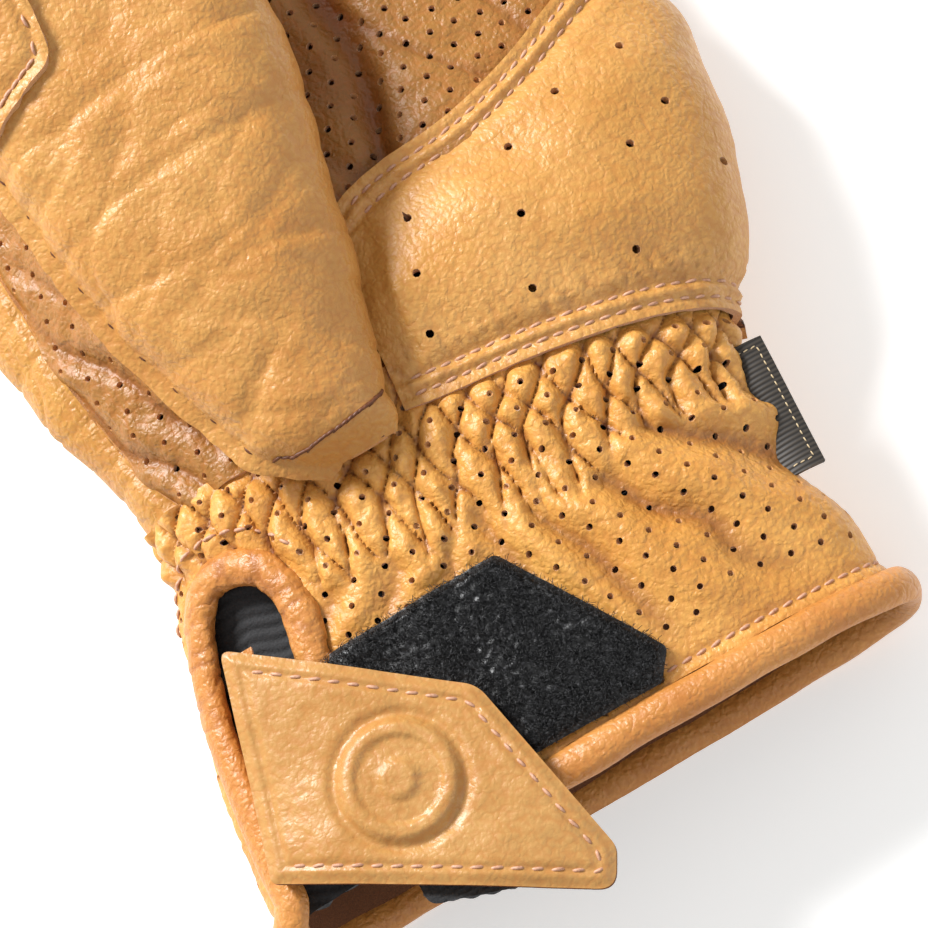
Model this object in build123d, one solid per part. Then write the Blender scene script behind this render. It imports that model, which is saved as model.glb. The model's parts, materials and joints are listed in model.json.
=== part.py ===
from build123d import *
import os
from math import cos, radians, sin, tan

# A left-hand leather riding glove with a short cuff, lying palm up.
# +Y points from the cuff to the fingertips, +Z up out of the palm, and the thumb is on the -X side.
# Lengths are millimetres. y is measured from the cuff mouth until the whole glove is centred at the end.

# Driving dimensions -----------------------------------------------------------------------------
LEATHER = 1.4            # thickness of the leather walls
SEAM_Z = 14.0            # height of the side seams between palm side and back
CUFF_END = 49.6          # the cuff leather stops here, at the wrist crease
WRIST_Y = 50.0           # wrist crease: the axis that hand and cuff bend about
WRIST_Z = 15.0
GATHER_END = 58.0        # the gathered wrist leather is sewn to the palm here
WRIST_SWING = 30.0       # degrees the wrist bends either way
HEM = 2.6                # half the width of the rolled edge round the mouth
ROLL = 1.7               # how far a rolled edge stands proud of the leather
JOINT_GAP = 0.5          # clearance at each side of a joint at rest
FINGER_RANGE = 70.0      # degrees at a finger's root
KNUCKLE_RANGE = 80.0     # degrees at a finger's middle joint
STRAIGHTEN = 8.0         # degrees that a curved finger can straighten
SWING_RANGE = 35.0       # degrees that the thumb opens sideways
FAR = 80.0               # reach of cutting tools, larger than the glove's half width
CRUMB = 20.0             # a solid under this volume, in cubic millimetres, is an offcut

# The hand's cross-sections: distance from the mouth, thumb side, little-finger side, top of the palm
STATIONS = [
    (-12, -55, 46, 27),
    (0, -54, 46, 27),
    (20, -50.5, 41, 28),
    (42, -46, 43, 29),
    (62, -43.5, 51, 30),
    (92, -49, 57, 30),
    (125, -48.5, 57, 28),
    (150, -46, 54, 25),
    (165, -45, 52, 24),
]
BELOW = 0.5              # sections start this far under the table, which then cuts them flat

# Fingers: root (x, y, z), splay and curl in degrees, lengths to and past the middle joint, width, height
FINGERS = {
    "index": ((-33.0, 148.0, 12.6), -4.0, 42.0, 31.0, 23.0, 19.0),
    "middle": ((-8.5, 152.0, 12.6), -1.0, 46.0, 34.0, 23.5, 19.4),
    "ring": ((16.0, 149.0, 12.6), 2.5, 43.0, 32.0, 22.5, 18.8),
    "little": ((39.5, 140.0, 12.6), 7.0, 34.0, 26.0, 20.5, 17.6),
}
ROOT_CURL = 6.0
TIP_CURL = 14.0
TAPER = 0.92             # each stretch of a finger narrows to this share
DOME = 10.0              # length of the rounded fingertip
MEET = 2.0               # front and back meet over twice this width at the very tip

# Thumb: it lies over the palm and points to the fingertips
THUMB_ROOT = (-14.0, 89.0, 43.5)
THUMB_SPLAY = 2.0
THUMB_CURL = 4.0
THUMB_LENGTH = 40.0
THUMB_TIP_LENGTH = 28.0
THUMB_WIDTH = 42.0
THUMB_HEIGHT = 23.0
SWING_AXIS = (-26.0, 89.0)
MOUND_CENTRE = (-15.0, 88.0, 31.5)
MOUND_RADII = (23.0, 30.0, 23.5)
THUMB_HOLE = (-15.0, 76.0)


# Tools ------------------------------------------------------------------------------------------
def section(station, grow):
    """One rounded cross-section of the hand, grown outwards by grow."""
    y, left, right, top = station
    width = right - left + 2 * grow
    height = top + BELOW + 2 * grow
    middle = ((left + right) / 2, y, (top - BELOW) / 2)
    plane = Plane(origin=middle, x_dir=(1, 0, 0), z_dir=(0, -1, 0))
    return plane * RectangleRounded(width, height, 0.47 * height)


FORMS = {}


def form(grow):
    """The solid hand form, grown outwards by grow."""
    if grow not in FORMS:
        FORMS[grow] = loft([section(station, grow) for station in STATIONS])
    return FORMS[grow]


def skin(inner, outer):
    """A closed layer of the hand form between two offsets."""
    return form(outer) - form(inner)


def block(x0, x1, y0, y1, z0, z1):
    """A box between two corners."""
    return Pos((x0 + x1) / 2, (y0 + y1) / 2, (z0 + z1) / 2) * Box(x1 - x0, y1 - y0, z1 - z0)


def slab(y0, y1, z0=0.0, z1=FAR):
    """Everything between two distances from the mouth, above the table."""
    return block(-FAR, FAR, y0, y1, z0, z1)


def column(outline):
    """A flat outline seen from above, as a tall column."""
    return extrude(Pos(0, 0, -5) * outline, FAR)


def outline(points, radius):
    """A closed flat outline with rounded corners."""
    face = make_face(Polyline(*points, close=True))
    return fillet(face.vertices(), radius)


def fold_gap(up, down, x0=-FAR, x1=FAR, gap=JOINT_GAP):
    """The gap that a hinge along local X needs at its origin: up degrees each side above, down below."""
    high = FAR / 2
    above = gap + high * tan(radians(up))
    below = gap + high * tan(radians(down))
    far_side = [(above, high), (gap, 0), (below, -high)]
    near_side = [(-below, -high), (-gap, 0), (-above, high)]
    corners = [(x0, y, z) for y, z in far_side + near_side]
    return extrude(make_face(Polyline(*corners, close=True)), x1 - x0, dir=(1, 0, 0))


def finger_plane(root, splay, curl):
    """The frame of a stretch of finger: Y along it, X across it as the hinge, Z out of the palm side."""
    s, c = radians(splay), radians(curl)
    along = Vector(sin(s) * cos(c), cos(s) * cos(c), sin(c))
    across = Vector(cos(s), -sin(s), 0)
    return Plane(origin=root, x_dir=across, z_dir=across.cross(along))


def oval(y, width, height):
    """An oval section of a finger at local y."""
    return Plane(origin=(0, y, 0), x_dir=(1, 0, 0), z_dir=(0, -1, 0)) * Ellipse(width / 2, height / 2)


def stretch_form(width, height, y0, y1, grow):
    """The tapered solid of a finger's first stretch."""
    start = oval(y0, width + 2 * grow, height + 2 * grow)
    end = oval(y1, width * TAPER + 2 * grow, height * TAPER + 2 * grow)
    return loft([start, end], ruled=True)


def tip_form(width, height, y0, length, grow):
    """The solid of a finger's last stretch, with a domed end: a turned shape, flattened to an oval."""
    wide, end = width / 2 + grow, width / 2 * TAPER + grow
    reach = length + DOME + grow
    side = Polyline((0, y0), (wide, y0), (end, length))
    dome = EllipticalCenterArc((0, length), end, DOME + grow, start_angle=0, arc_size=90)
    profile = make_face([*side.edges(), *dome.edges(), Line((0, reach), (0, y0))])
    turned = revolve(profile, Axis.Y)
    return scale(turned, by=(1, 1, (height / 2 + grow) / wide))


def sector(kind, slope):
    """The part of a finger's tube that one leather panel covers: front, back or the two sides."""
    low = FAR * slope
    left, right = (-MEET, 0), (MEET, 0)
    shapes = {
        "front": [[left, right, (FAR, low), (FAR, FAR), (-FAR, FAR), (-FAR, low)]],
        "back": [[right, left, (-FAR, -low), (-FAR, -FAR), (FAR, -FAR), (FAR, -low)]],
        "sides": [[right, (FAR, -low), (FAR, low)], [left, (-FAR, low), (-FAR, -low)]],
    }
    prisms = []
    for points in shapes[kind]:
        corners = [(x, -20, z) for x, z in points]
        prisms.append(extrude(make_face(Polyline(*corners, close=True)), 140, dir=(0, 1, 0)))
    return prisms


GLOVE = {}


def keep(name, *shapes):
    """Stores a sub-part as one or more separate solids, without the crumbs a cut leaves."""
    solids = [solid for shape in shapes for solid in shape.solids()]
    GLOVE[name] = [solid for solid in solids if solid.volume > CRUMB]


# Regions of the cuff ----------------------------------------------------------------------------
# The vent is a slot on the thumb side that runs up from the mouth and lets the cuff open wide.
vent_top = Pos(-38.3, 35.5) * Circle(4.2)
vent_slot = make_hull(vent_top.edges() + Line((-53, -12), (-34, -12)).edges())
vent_band = offset(vent_slot, 5.0, kind=Kind.ARC)
wrist_gap = Pos(0, WRIST_Y, WRIST_Z) * fold_gap(WRIST_SWING / 2 + 1, WRIST_SWING / 2 + 1)
palm_side = block(-38.0, FAR, -FAR, 2 * FAR, SEAM_Z, FAR)


# Cuff: perforated leather, rolled edges, elastic vent and fastening -------------------------------
def make_cuff():
    wall = skin(-LEATHER, 0) & slab(HEM, CUFF_END)
    wall = wall - column(vent_band) - wrist_gap
    keep("cuff_front", wall & palm_side)
    keep("cuff_back", wall - palm_side)

    ring = skin(-LEATHER - 1.4, ROLL) & slab(-HEM, HEM)
    keep("cuff_binding", ring - column(vent_slot))

    band = column(vent_band) - column(vent_slot)
    rim = skin(-LEATHER - 1.4, ROLL) & slab(HEM, CUFF_END, SEAM_Z)
    keep("vent_binding", (rim & band) - wrist_gap)

    membrane = skin(-LEATHER - 2.6, -LEATHER - 1.6) & slab(HEM, CUFF_END - 4, SEAM_Z + 2)
    keep("vent_gusset", membrane & column(offset(vent_slot, 4.0, kind=Kind.ARC)))

    elastic = skin(-LEATHER - 1.0, -LEATHER) & slab(28, 46)
    keep("wrist_elastic", elastic - column(vent_band) - wrist_gap)


# The soft half of the fastener, a fuzzy patch sewn on the palm side of the cuff
def make_loop_patch():
    patch = outline([(-28, 29), (-3, 30.5), (12, 8), (9, 4), (-28, 4)], 1.5)
    keep("loop_patch", skin(0, 1.6) & column(patch) & palm_side)


# A folded woven label caught in the side seam
def make_label():
    label = Pos(45.4, 30, SEAM_Z) * Rot(0, 0, -4) * Box(7.6, 18, 1.2)
    keep("side_label", label - form(0.2))


# Strap: leather with a suede lining and the hook half of the fastener under it ----------------------
STRAP_ROOT = [(-49.3, 5.5), (-41.9, 38.0)]
STRAP_NOSE = [(-13.5, 15.4), (-8.0, -13.0), (-11.5, -17.6)]
STRAP_Z = 30.4           # underside of the hooks
HOOKS = 0.8              # thickness of the hook patch
LINING = 0.8             # thickness of the suede lining
STRAP_LEATHER = 1.2      # thickness of the strap's face leather
BADGE_CENTRE = (-28.0, 9.5)
BADGE_RADIUS = 8.6
BADGE = 1.0              # thickness of the round badge


def make_strap():
    shape = make_face(Polyline(*STRAP_ROOT, *STRAP_NOSE, close=True))
    free = [v for v in shape.vertices() if v.X > -20]
    shape = fillet(free, 2.4)
    hooks = offset(shape, -4.0) & (Pos(-20, 0) * Rectangle(26, 60))
    lining_z = STRAP_Z + HOOKS
    leather_z = lining_z + LINING
    badge_z = leather_z + STRAP_LEATHER
    keep("hook_patch", extrude(Pos(0, 0, STRAP_Z) * hooks, HOOKS))
    keep("strap_lining", extrude(Pos(0, 0, lining_z) * shape, LINING))
    keep("strap_leather", extrude(Pos(0, 0, leather_z) * shape, STRAP_LEATHER))
    keep("strap_badge", extrude(Pos(*BADGE_CENTRE, badge_z) * Circle(BADGE_RADIUS), BADGE))

    # the sewn root that carries the strap rises out of the vent beside its outer edge
    start, end = Vector(*STRAP_ROOT[0]), Vector(*STRAP_ROOT[1])
    along = (end - start).normalized()
    frame = Plane(origin=(start + end) / 2 + Vector(1.4, 0, 25.9), x_dir=along, z_dir=(0, 0, 1))
    keep("strap_root", frame * Box((end - start).length - 3, 1.4, 7.4) - form(-LEATHER - 1.6))


# Hand: palm, padded heel, thumb mound and back -----------------------------------------------------
HEEL_EDGE = [(-2, 56), (-0.4, 70), (3.7, 81), (20, 86), (31, 87.5), (43, 93), (62, 100), (62, 52)]
HEEL_FOAM = 2.0          # thickness of the foam under the heel patch
KNUCKLES_Y = 112.0       # the smooth back ends and the perforated knuckle panel starts here


def finger_room():
    """Everything past the finger roots, with the fold gaps that the fingers need there."""
    names = list(FINGERS)
    roots = [FINGERS[name][0] for name in names]
    room = []
    for i, name in enumerate(names):
        root, splay = FINGERS[name][0], FINGERS[name][1]
        left = -20 if i == 0 else (roots[i - 1][0] - root[0]) / 2
        right = 20 if i == len(names) - 1 else (roots[i + 1][0] - root[0]) / 2
        frame = finger_plane(root, splay, 0)
        room.append(frame * block(left, right, -JOINT_GAP, 60, -FAR / 2, FAR / 2))
        room.append(frame * fold_gap((FINGER_RANGE + ROOT_CURL) / 2 + 1, STRAIGHTEN / 2 + 1, left, right))
    return room


def mound(shrink):
    """The rounded mound at the thumb's root."""
    radii = [r - shrink for r in MOUND_RADII]
    return Pos(*MOUND_CENTRE) * scale(Sphere(1), by=tuple(radii))


def make_hand():
    gathers = (skin(-LEATHER, 0) & slab(WRIST_Y, GATHER_END)) - wrist_gap
    keep("wrist_front", gathers & palm_side)
    keep("wrist_back", gathers - palm_side)

    wall = skin(-LEATHER, 0) & slab(GATHER_END, 156)
    panels = {
        "palm_panel": wall & palm_side,
        "thumb_side_strip": wall & block(-FAR, -38.0, GATHER_END, 156, SEAM_Z, FAR),
        "back_panel": wall & block(-FAR, FAR, GATHER_END, KNUCKLES_Y, 0, SEAM_Z),
        "knuckle_panel": wall & block(-FAR, FAR, KNUCKLES_Y, 156, 0, SEAM_Z),
    }
    for shape in finger_room():
        panels = {name: panel - shape for name, panel in panels.items()}
    thumb_hole = column(Pos(*THUMB_HOLE) * Ellipse(13, 11)) & slab(40, THUMB_ROOT[1], SEAM_Z + 6)
    panels["palm_panel"] = panels["palm_panel"] - thumb_hole
    for name, panel in panels.items():
        keep(name, panel)

    heel = outline(HEEL_EDGE, 3.0)
    pad_side = column(heel) & block(-FAR, FAR, 0, 2 * FAR, SEAM_Z + 2, FAR)
    small = column(offset(heel, -5.0)) & block(-FAR, 50, WRIST_Y + 11, 2 * FAR, SEAM_Z + 8, FAR)
    foam = (skin(0, HEEL_FOAM) & small) - mound(-LEATHER)
    keep("heel_foam", foam)
    keep("heel_pad", (skin(0, HEEL_FOAM + LEATHER) & pad_side) - foam - mound(0) - wrist_gap)

    hump = (mound(0) - mound(LEATHER)) - form(0)
    keep("thenar_panel", hump & slab(40, THUMB_ROOT[1] - 1.0, 20) - swing_gap())


# Thumb -----------------------------------------------------------------------------------------------
def swing_gap():
    """The room at the thumb's root that its sideways swing needs."""
    reach = 40.0
    open_by = reach * tan(radians(SWING_RANGE / 2 + 1.5))
    points = [(0, 0), (-reach, open_by), (-reach, -open_by)]
    wedge = extrude(make_face(Polyline(*points, close=True)), FAR)
    return Pos(SWING_AXIS[0], SWING_AXIS[1], 0) * wedge


def panels(name, tube, width, height, cuts, frame, top=None):
    """Cuts a tube into its front, back and side panels, and stores them."""
    for cut in cuts:
        tube = tube - cut
    slope = height / width * tan(radians(35))
    for kind in ("front", "back", "sides"):
        pieces = [frame * (tube & prism) for prism in sector(kind, slope)]
        if top is not None:
            pieces = [piece - top for piece in pieces]
        keep(f"{name}_{kind}", *pieces)


def make_thumb():
    root = finger_plane(THUMB_ROOT, THUMB_SPLAY, THUMB_CURL)
    outer = stretch_form(THUMB_WIDTH, THUMB_HEIGHT, JOINT_GAP, THUMB_LENGTH + 6, 0)
    inner = stretch_form(THUMB_WIDTH, THUMB_HEIGHT, JOINT_GAP - 1, THUMB_LENGTH + 7, -LEATHER)
    bend = (KNUCKLE_RANGE - 20 + TIP_CURL - THUMB_CURL) / 2 + 1
    end_gap = Pos(0, THUMB_LENGTH, 0) * fold_gap(bend, STRAIGHTEN / 2 + 1)
    past_end = block(-FAR, FAR, THUMB_LENGTH, THUMB_LENGTH + 20, -FAR, FAR)
    tube = outer - inner
    panels("thumb", tube, THUMB_WIDTH, THUMB_HEIGHT, [end_gap, past_end], root, swing_gap())

    joint = root.from_local_coords((0, THUMB_LENGTH, 0))
    tip = finger_plane(joint, THUMB_SPLAY, TIP_CURL)
    width, height = THUMB_WIDTH * TAPER, THUMB_HEIGHT * TAPER
    outer = tip_form(width, height, -6, THUMB_TIP_LENGTH, 0)
    inner = tip_form(width, height, -7, THUMB_TIP_LENGTH, -LEATHER)
    before = block(-FAR, FAR, -20, 0, -FAR, FAR)
    gap = fold_gap(bend, STRAIGHTEN / 2 + 1)
    panels("thumb_tip", outer - inner, width, height, [gap, before], tip)

    # a second layer of leather over the pad of the thumb
    grip = tip_form(width, height, -6, THUMB_TIP_LENGTH, 1.2) - outer
    area = extrude(Pos(0, 20, 0) * outline([(-13, -12), (13, -12), (13, 12), (-13, 12)], 6), FAR)
    keep("thumb_grip", tip * ((grip - gap - before) & area))
    return joint


def make_finger(name):
    root, splay, first, last, width, height = FINGERS[name]
    frame = finger_plane(root, splay, ROOT_CURL)
    outer = stretch_form(width, height, -8, first + 6, 0)
    inner = stretch_form(width, height, -9, first + 7, -LEATHER)
    root_gap = fold_gap((FINGER_RANGE + ROOT_CURL) / 2 + 1, STRAIGHTEN / 2 + 1)
    bend = (KNUCKLE_RANGE + TIP_CURL - ROOT_CURL) / 2 + 1
    end_gap = Pos(0, first, 0) * fold_gap(bend, STRAIGHTEN / 2 + 1)
    before = block(-FAR, FAR, -20, 0, -FAR, FAR)
    past_end = block(-FAR, FAR, first, first + 20, -FAR, FAR)
    panels(name, outer - inner, width, height, [root_gap, end_gap, before, past_end], frame)

    joint = frame.from_local_coords((0, first, 0))
    tip = finger_plane(joint, splay, TIP_CURL)
    width, height = width * TAPER, height * TAPER
    outer = tip_form(width, height, -6, last, 0)
    inner = tip_form(width, height, -7, last, -LEATHER)
    gap = fold_gap(bend, STRAIGHTEN / 2 + 1)
    panels(f"{name}_tip", outer - inner, width, height, [gap, before], tip)
    return joint


# The whole glove ---------------------------------------------------------------------------------------
make_cuff()
make_loop_patch()
make_label()
make_strap()
make_hand()
joints = {"thumb": make_thumb()}
for finger in FINGERS:
    joints[finger] = make_finger(finger)

box = Compound([solid for solids in GLOVE.values() for solid in solids]).bounding_box()
shift = Pos(round(-(box.min.X + box.max.X) / 2, 2), round(-(box.min.Y + box.max.Y) / 2, 2), 0)
print("shift", shift.position, "size", box.size)
for finger, joint in joints.items():
    print(finger, "middle joint", shift.position + joint)

os.makedirs("parts", exist_ok=True)
for name, solids in GLOVE.items():
    moved = [shift * solid for solid in solids]
    part = moved[0] if len(moved) == 1 else Compound(moved)
    export_step(part, f"parts/{name}.step")
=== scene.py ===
import json
from math import cos, hypot, pi, radians, sin

import bpy
import numpy as np
from mathutils import Matrix, Vector


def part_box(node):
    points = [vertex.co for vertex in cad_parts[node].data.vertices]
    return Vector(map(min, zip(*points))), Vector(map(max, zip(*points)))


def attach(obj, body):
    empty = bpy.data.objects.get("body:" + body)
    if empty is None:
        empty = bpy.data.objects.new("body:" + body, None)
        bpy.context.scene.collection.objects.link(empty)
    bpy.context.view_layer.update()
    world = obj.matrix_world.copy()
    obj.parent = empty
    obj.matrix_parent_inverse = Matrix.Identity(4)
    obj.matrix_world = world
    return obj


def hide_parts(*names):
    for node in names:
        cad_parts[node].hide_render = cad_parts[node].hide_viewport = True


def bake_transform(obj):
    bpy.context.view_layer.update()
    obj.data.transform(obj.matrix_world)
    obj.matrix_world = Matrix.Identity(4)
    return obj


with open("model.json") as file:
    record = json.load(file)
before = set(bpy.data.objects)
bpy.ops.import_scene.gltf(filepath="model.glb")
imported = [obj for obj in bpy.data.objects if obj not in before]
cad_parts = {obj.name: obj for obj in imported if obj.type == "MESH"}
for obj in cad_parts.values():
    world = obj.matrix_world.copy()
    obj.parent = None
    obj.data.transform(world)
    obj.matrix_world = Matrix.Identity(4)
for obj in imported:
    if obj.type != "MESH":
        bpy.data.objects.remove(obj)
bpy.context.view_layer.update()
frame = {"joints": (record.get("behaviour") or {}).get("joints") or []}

# Camera, light and floor --------------------------------------------------------------------------
# A long lens looks down on the palm side of the cuff, turned so that the fingers point up and left.
# Everything is measured in millimetres from the middle of the cuff mouth: x across the hand, y to the
# fingertips, z up from the table. The wrist hinge of the frame says where that point is.
MM = 0.001
WRIST_Y = 50.0
JOINTS = {joint["name"]: joint for joint in frame["joints"]}
ORIGIN = np.array(JOINTS["wrist_flex"]["pos_m"]) / MM * (1, 1, 0) - (0, WRIST_Y, 0)


def place(x, y, z):
    return Vector((np.array((x, y, z)) + ORIGIN) * MM)


def joint_place(name):
    """Where a joint of the frame is, in the glove's own millimetres."""
    return np.array(JOINTS[name]["pos_m"]) / MM - ORIGIN


LOOK_AT = place(1.5, 44.0, 30.0)
ELEVATION = radians(75)
ROLL = radians(30.8)
LENS = 150.0
FRAME_WIDTH = 0.129
SENSOR = 36.0

camera_data = bpy.data.cameras.new("camera")
camera_data.lens = LENS
camera_data.sensor_width = SENSOR
camera = bpy.data.objects.new("camera", camera_data)
bpy.context.scene.collection.objects.link(camera)
back = Vector((0, -cos(ELEVATION), sin(ELEVATION)))
flat_up = Vector((0, sin(ELEVATION), cos(ELEVATION)))
flat_right = Vector((1, 0, 0))
up = cos(ROLL) * flat_up + sin(ROLL) * flat_right
right = cos(ROLL) * flat_right - sin(ROLL) * flat_up
turned = Matrix((right, up, back)).transposed().to_4x4()
distance = FRAME_WIDTH * LENS / SENSOR
camera.matrix_world = Matrix.Translation(LOOK_AT + back * distance) @ turned
bpy.context.scene.camera = camera


def soft_light(name, x, y, z, size, power):
    """A square studio light that points at the glove."""
    data = bpy.data.lights.new(name, "AREA")
    data.size = size
    data.energy = power
    light = bpy.data.objects.new(name, data)
    bpy.context.scene.collection.objects.link(light)
    light.location = (x, y, z)
    light.rotation_euler = (-light.location).to_track_quat("-Z", "Y").to_euler()


soft_light("key", -0.42, 0.72, 0.72, 0.3, 22.0)
soft_light("fill", 0.7, -0.8, 0.9, 1.0, 3.0)

world = bpy.data.worlds.new("studio")
world.use_nodes = True
world.node_tree.nodes["Background"].inputs["Color"].default_value = (1, 1, 1, 1)
world.node_tree.nodes["Background"].inputs["Strength"].default_value = 0.55
bpy.context.scene.world = world
bpy.context.scene.view_settings.view_transform = "Standard"


def hex_colour(code):
    """An sRGB hex colour as linear red, green, blue and alpha."""
    parts = [int(code[i:i + 2], 16) / 255 for i in (1, 3, 5)]
    linear = [c / 12.92 if c <= 0.04045 else ((c + 0.055) / 1.055) ** 2.4 for c in parts]
    return (*linear, 1.0)


def add_node(tree, kind, links=(), **settings):
    """Adds one node. Settings are its own values or socket values; links are (input, output) pairs."""
    node = tree.nodes.new(kind)
    for name, value in settings.items():
        if hasattr(node, name):
            setattr(node, name, value)
        else:
            node.inputs[name.replace("_", " ")].default_value = value
    for socket, source in links:
        tree.links.new(source, node.inputs[socket])
    return node


def new_material(name):
    """An empty material, its node tree and its surface shader."""
    material = bpy.data.materials.new(name)
    material.use_nodes = True
    return material, material.node_tree, material.node_tree.nodes["Principled BSDF"]


# Opal acrylic: the plain pale floor is a light table, so that shadows on it stay faint
board, tree, shader = new_material("opal_acrylic")
speckle = add_node(tree, "ShaderNodeTexNoise", Scale=60.0)
tint = add_node(tree, "ShaderNodeMixRGB", [("Fac", speckle.outputs["Fac"])],
                Color1=hex_colour("#f6f6f5"), Color2=hex_colour("#f1f1f0"))
tree.links.new(tint.outputs["Color"], shader.inputs["Base Color"])
tree.links.new(tint.outputs["Color"], shader.inputs["Emission Color"])
shader.inputs["Emission Strength"].default_value = 0.35
shader.inputs["Roughness"].default_value = 0.8
bpy.ops.mesh.primitive_plane_add(size=6.0, location=(0, 0, 0))
floor = bpy.context.object
floor.name = "floor"
floor.data.materials.append(board)


# Cuff and wrist leather, palm side ----------------------------------------------------------------
# One piece of punched goat leather from the rolled mouth to the heel pad. At the wrist an elastic
# sewn inside shirrs it into leaf-shaped puffs, and long soft folds fan out from them over the cuff.

# The shape that the leather is stretched over: rounded sections, flatter underneath where it lies on
# the table. A point of the skin is said by how far it is round from the top line, and along the hand.
STATIONS = np.array([
    (-14, -56.5, 46, 27),
    (0, -55.2, 46, 27),
    (20, -51.8, 41, 28),
    (42, -46.4, 42, 29),
    (54, -41.8, 48.6, 29.6),
    (62, -41.2, 52.2, 30),
    (76, -45.0, 56.0, 30.3),
    (92, -48.6, 58.5, 30.5),
    (122, -48.5, 57.5, 28.5),
    (140, -46.5, 55, 25.5),
    (168, -45, 52, 23),
])
SEAM_Z = 14.0
TOP_ROUND = 2.35         # how square the upper half of a section is: 2 is an ellipse
LOWER_ROUND = 4.0
ROUND_STEP = 0.25
ALONG_STEP = 0.5

along = np.arange(-14.0, 168.01, ALONG_STEP)
blur = np.hanning(49) / np.hanning(49).sum()
rounds = np.arange(-75.0, 215.0, ROUND_STEP)
measures = []
for column in (1, 2, 3):
    padded = np.interp(np.arange(-26.0, 180.01, ALONG_STEP), STATIONS[:, 0], STATIONS[:, column])
    measures.append(np.convolve(padded, blur, "valid"))
turn = np.radians(np.linspace(90, -270, 1441))
form_x, form_z, girth, seam_right, seam_left = [], [], [], [], []
for left, right, top in zip(*measures):
    upper = np.sin(turn) >= 0
    power = np.where(upper, 2 / TOP_ROUND, 2 / LOWER_ROUND)
    high = np.where(upper, top - SEAM_Z, SEAM_Z)
    x = (left + right) / 2 + (right - left) / 2 * np.sign(np.cos(turn)) * np.abs(np.cos(turn)) ** power
    z = SEAM_Z + high * np.sign(np.sin(turn)) * np.abs(np.sin(turn)) ** power
    walk = np.concatenate([[0], np.cumsum(np.hypot(np.diff(x), np.diff(z)))])
    # the walk starts at the middle of the top: move its zero to the line where x is 0
    quarter = slice(0, 361)
    last = slice(1080, 1441)
    if (left + right) / 2 < 0:
        start = np.interp(0, x[quarter], walk[quarter])
    else:
        start = np.interp(0, x[last], walk[last]) - walk[-1]
    form_x.append(np.interp(rounds + start, walk, x, period=walk[-1]))
    form_z.append(np.interp(rounds + start, walk, z, period=walk[-1]))
    girth.append(walk[-1])
    seam_right.append(walk[360] - start)
    seam_left.append(walk[1080] - walk[-1] - start)
form_x, form_z = np.array(form_x), np.array(form_z)
run_y, run_s = np.gradient(form_x, ALONG_STEP, ROUND_STEP)
rise_y, rise_s = np.gradient(form_z, ALONG_STEP, ROUND_STEP)
out_x, out_y, out_z = -rise_s, run_y * rise_s - rise_y * run_s, run_s
size = np.sqrt(out_x ** 2 + out_y ** 2 + out_z ** 2)
FORM = [form_x, form_z, out_x / size, out_y / size, out_z / size]


def seam(y, side):
    """How far round the side seam is, at a distance along the hand. Side is -1 for the thumb's."""
    return np.interp(y, along, seam_right if side > 0 else seam_left)


def whole_round(y):
    return np.interp(y, along, girth)


def skin(s, y, lift=0.0):
    """Points of the hand form in millimetres, s round from the top line and y along, lifted off it."""
    s, y = np.broadcast_arrays(np.asarray(s, float), np.asarray(y, float))
    i = np.clip((y - along[0]) / ALONG_STEP, 0, len(along) - 1.001)
    j = np.clip((s - rounds[0]) / ROUND_STEP, 0, len(rounds) - 1.001)
    i0, j0 = i.astype(int), j.astype(int)
    fi, fj = i - i0, j - j0
    found = []
    for table in FORM:
        low = table[i0, j0] * (1 - fj) + table[i0, j0 + 1] * fj
        high = table[i0 + 1, j0] * (1 - fj) + table[i0 + 1, j0 + 1] * fj
        found.append(low * (1 - fi) + high * fi)
    x, z, nx, ny, nz = found
    return np.stack([x + lift * nx, y + lift * ny, z + lift * nz], axis=-1)


def round_of(x, y):
    """How far round the palm side a point is, from its x."""
    s = np.arange(-75.0, 90.0, 0.5)
    result = []
    for one_x, one_y in np.broadcast(x, y):
        inside = s[(s > seam(one_y, -1)) & (s < seam(one_y, 1))]
        result.append(np.interp(one_x, skin(inside, np.full(len(inside), float(one_y)))[:, 0], inside))
    return np.array(result)


# Full-grain goat leather, aniline dyed tan and lightly finished: fine pebbled grain about a millimetre
# across, its valleys a little browner, small creases, soft low gloss. A deep brown is painted into
# creases and folds as shade, where each sheet's per-point attribute marks them.
GRAIN = 0.85 * MM


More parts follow.
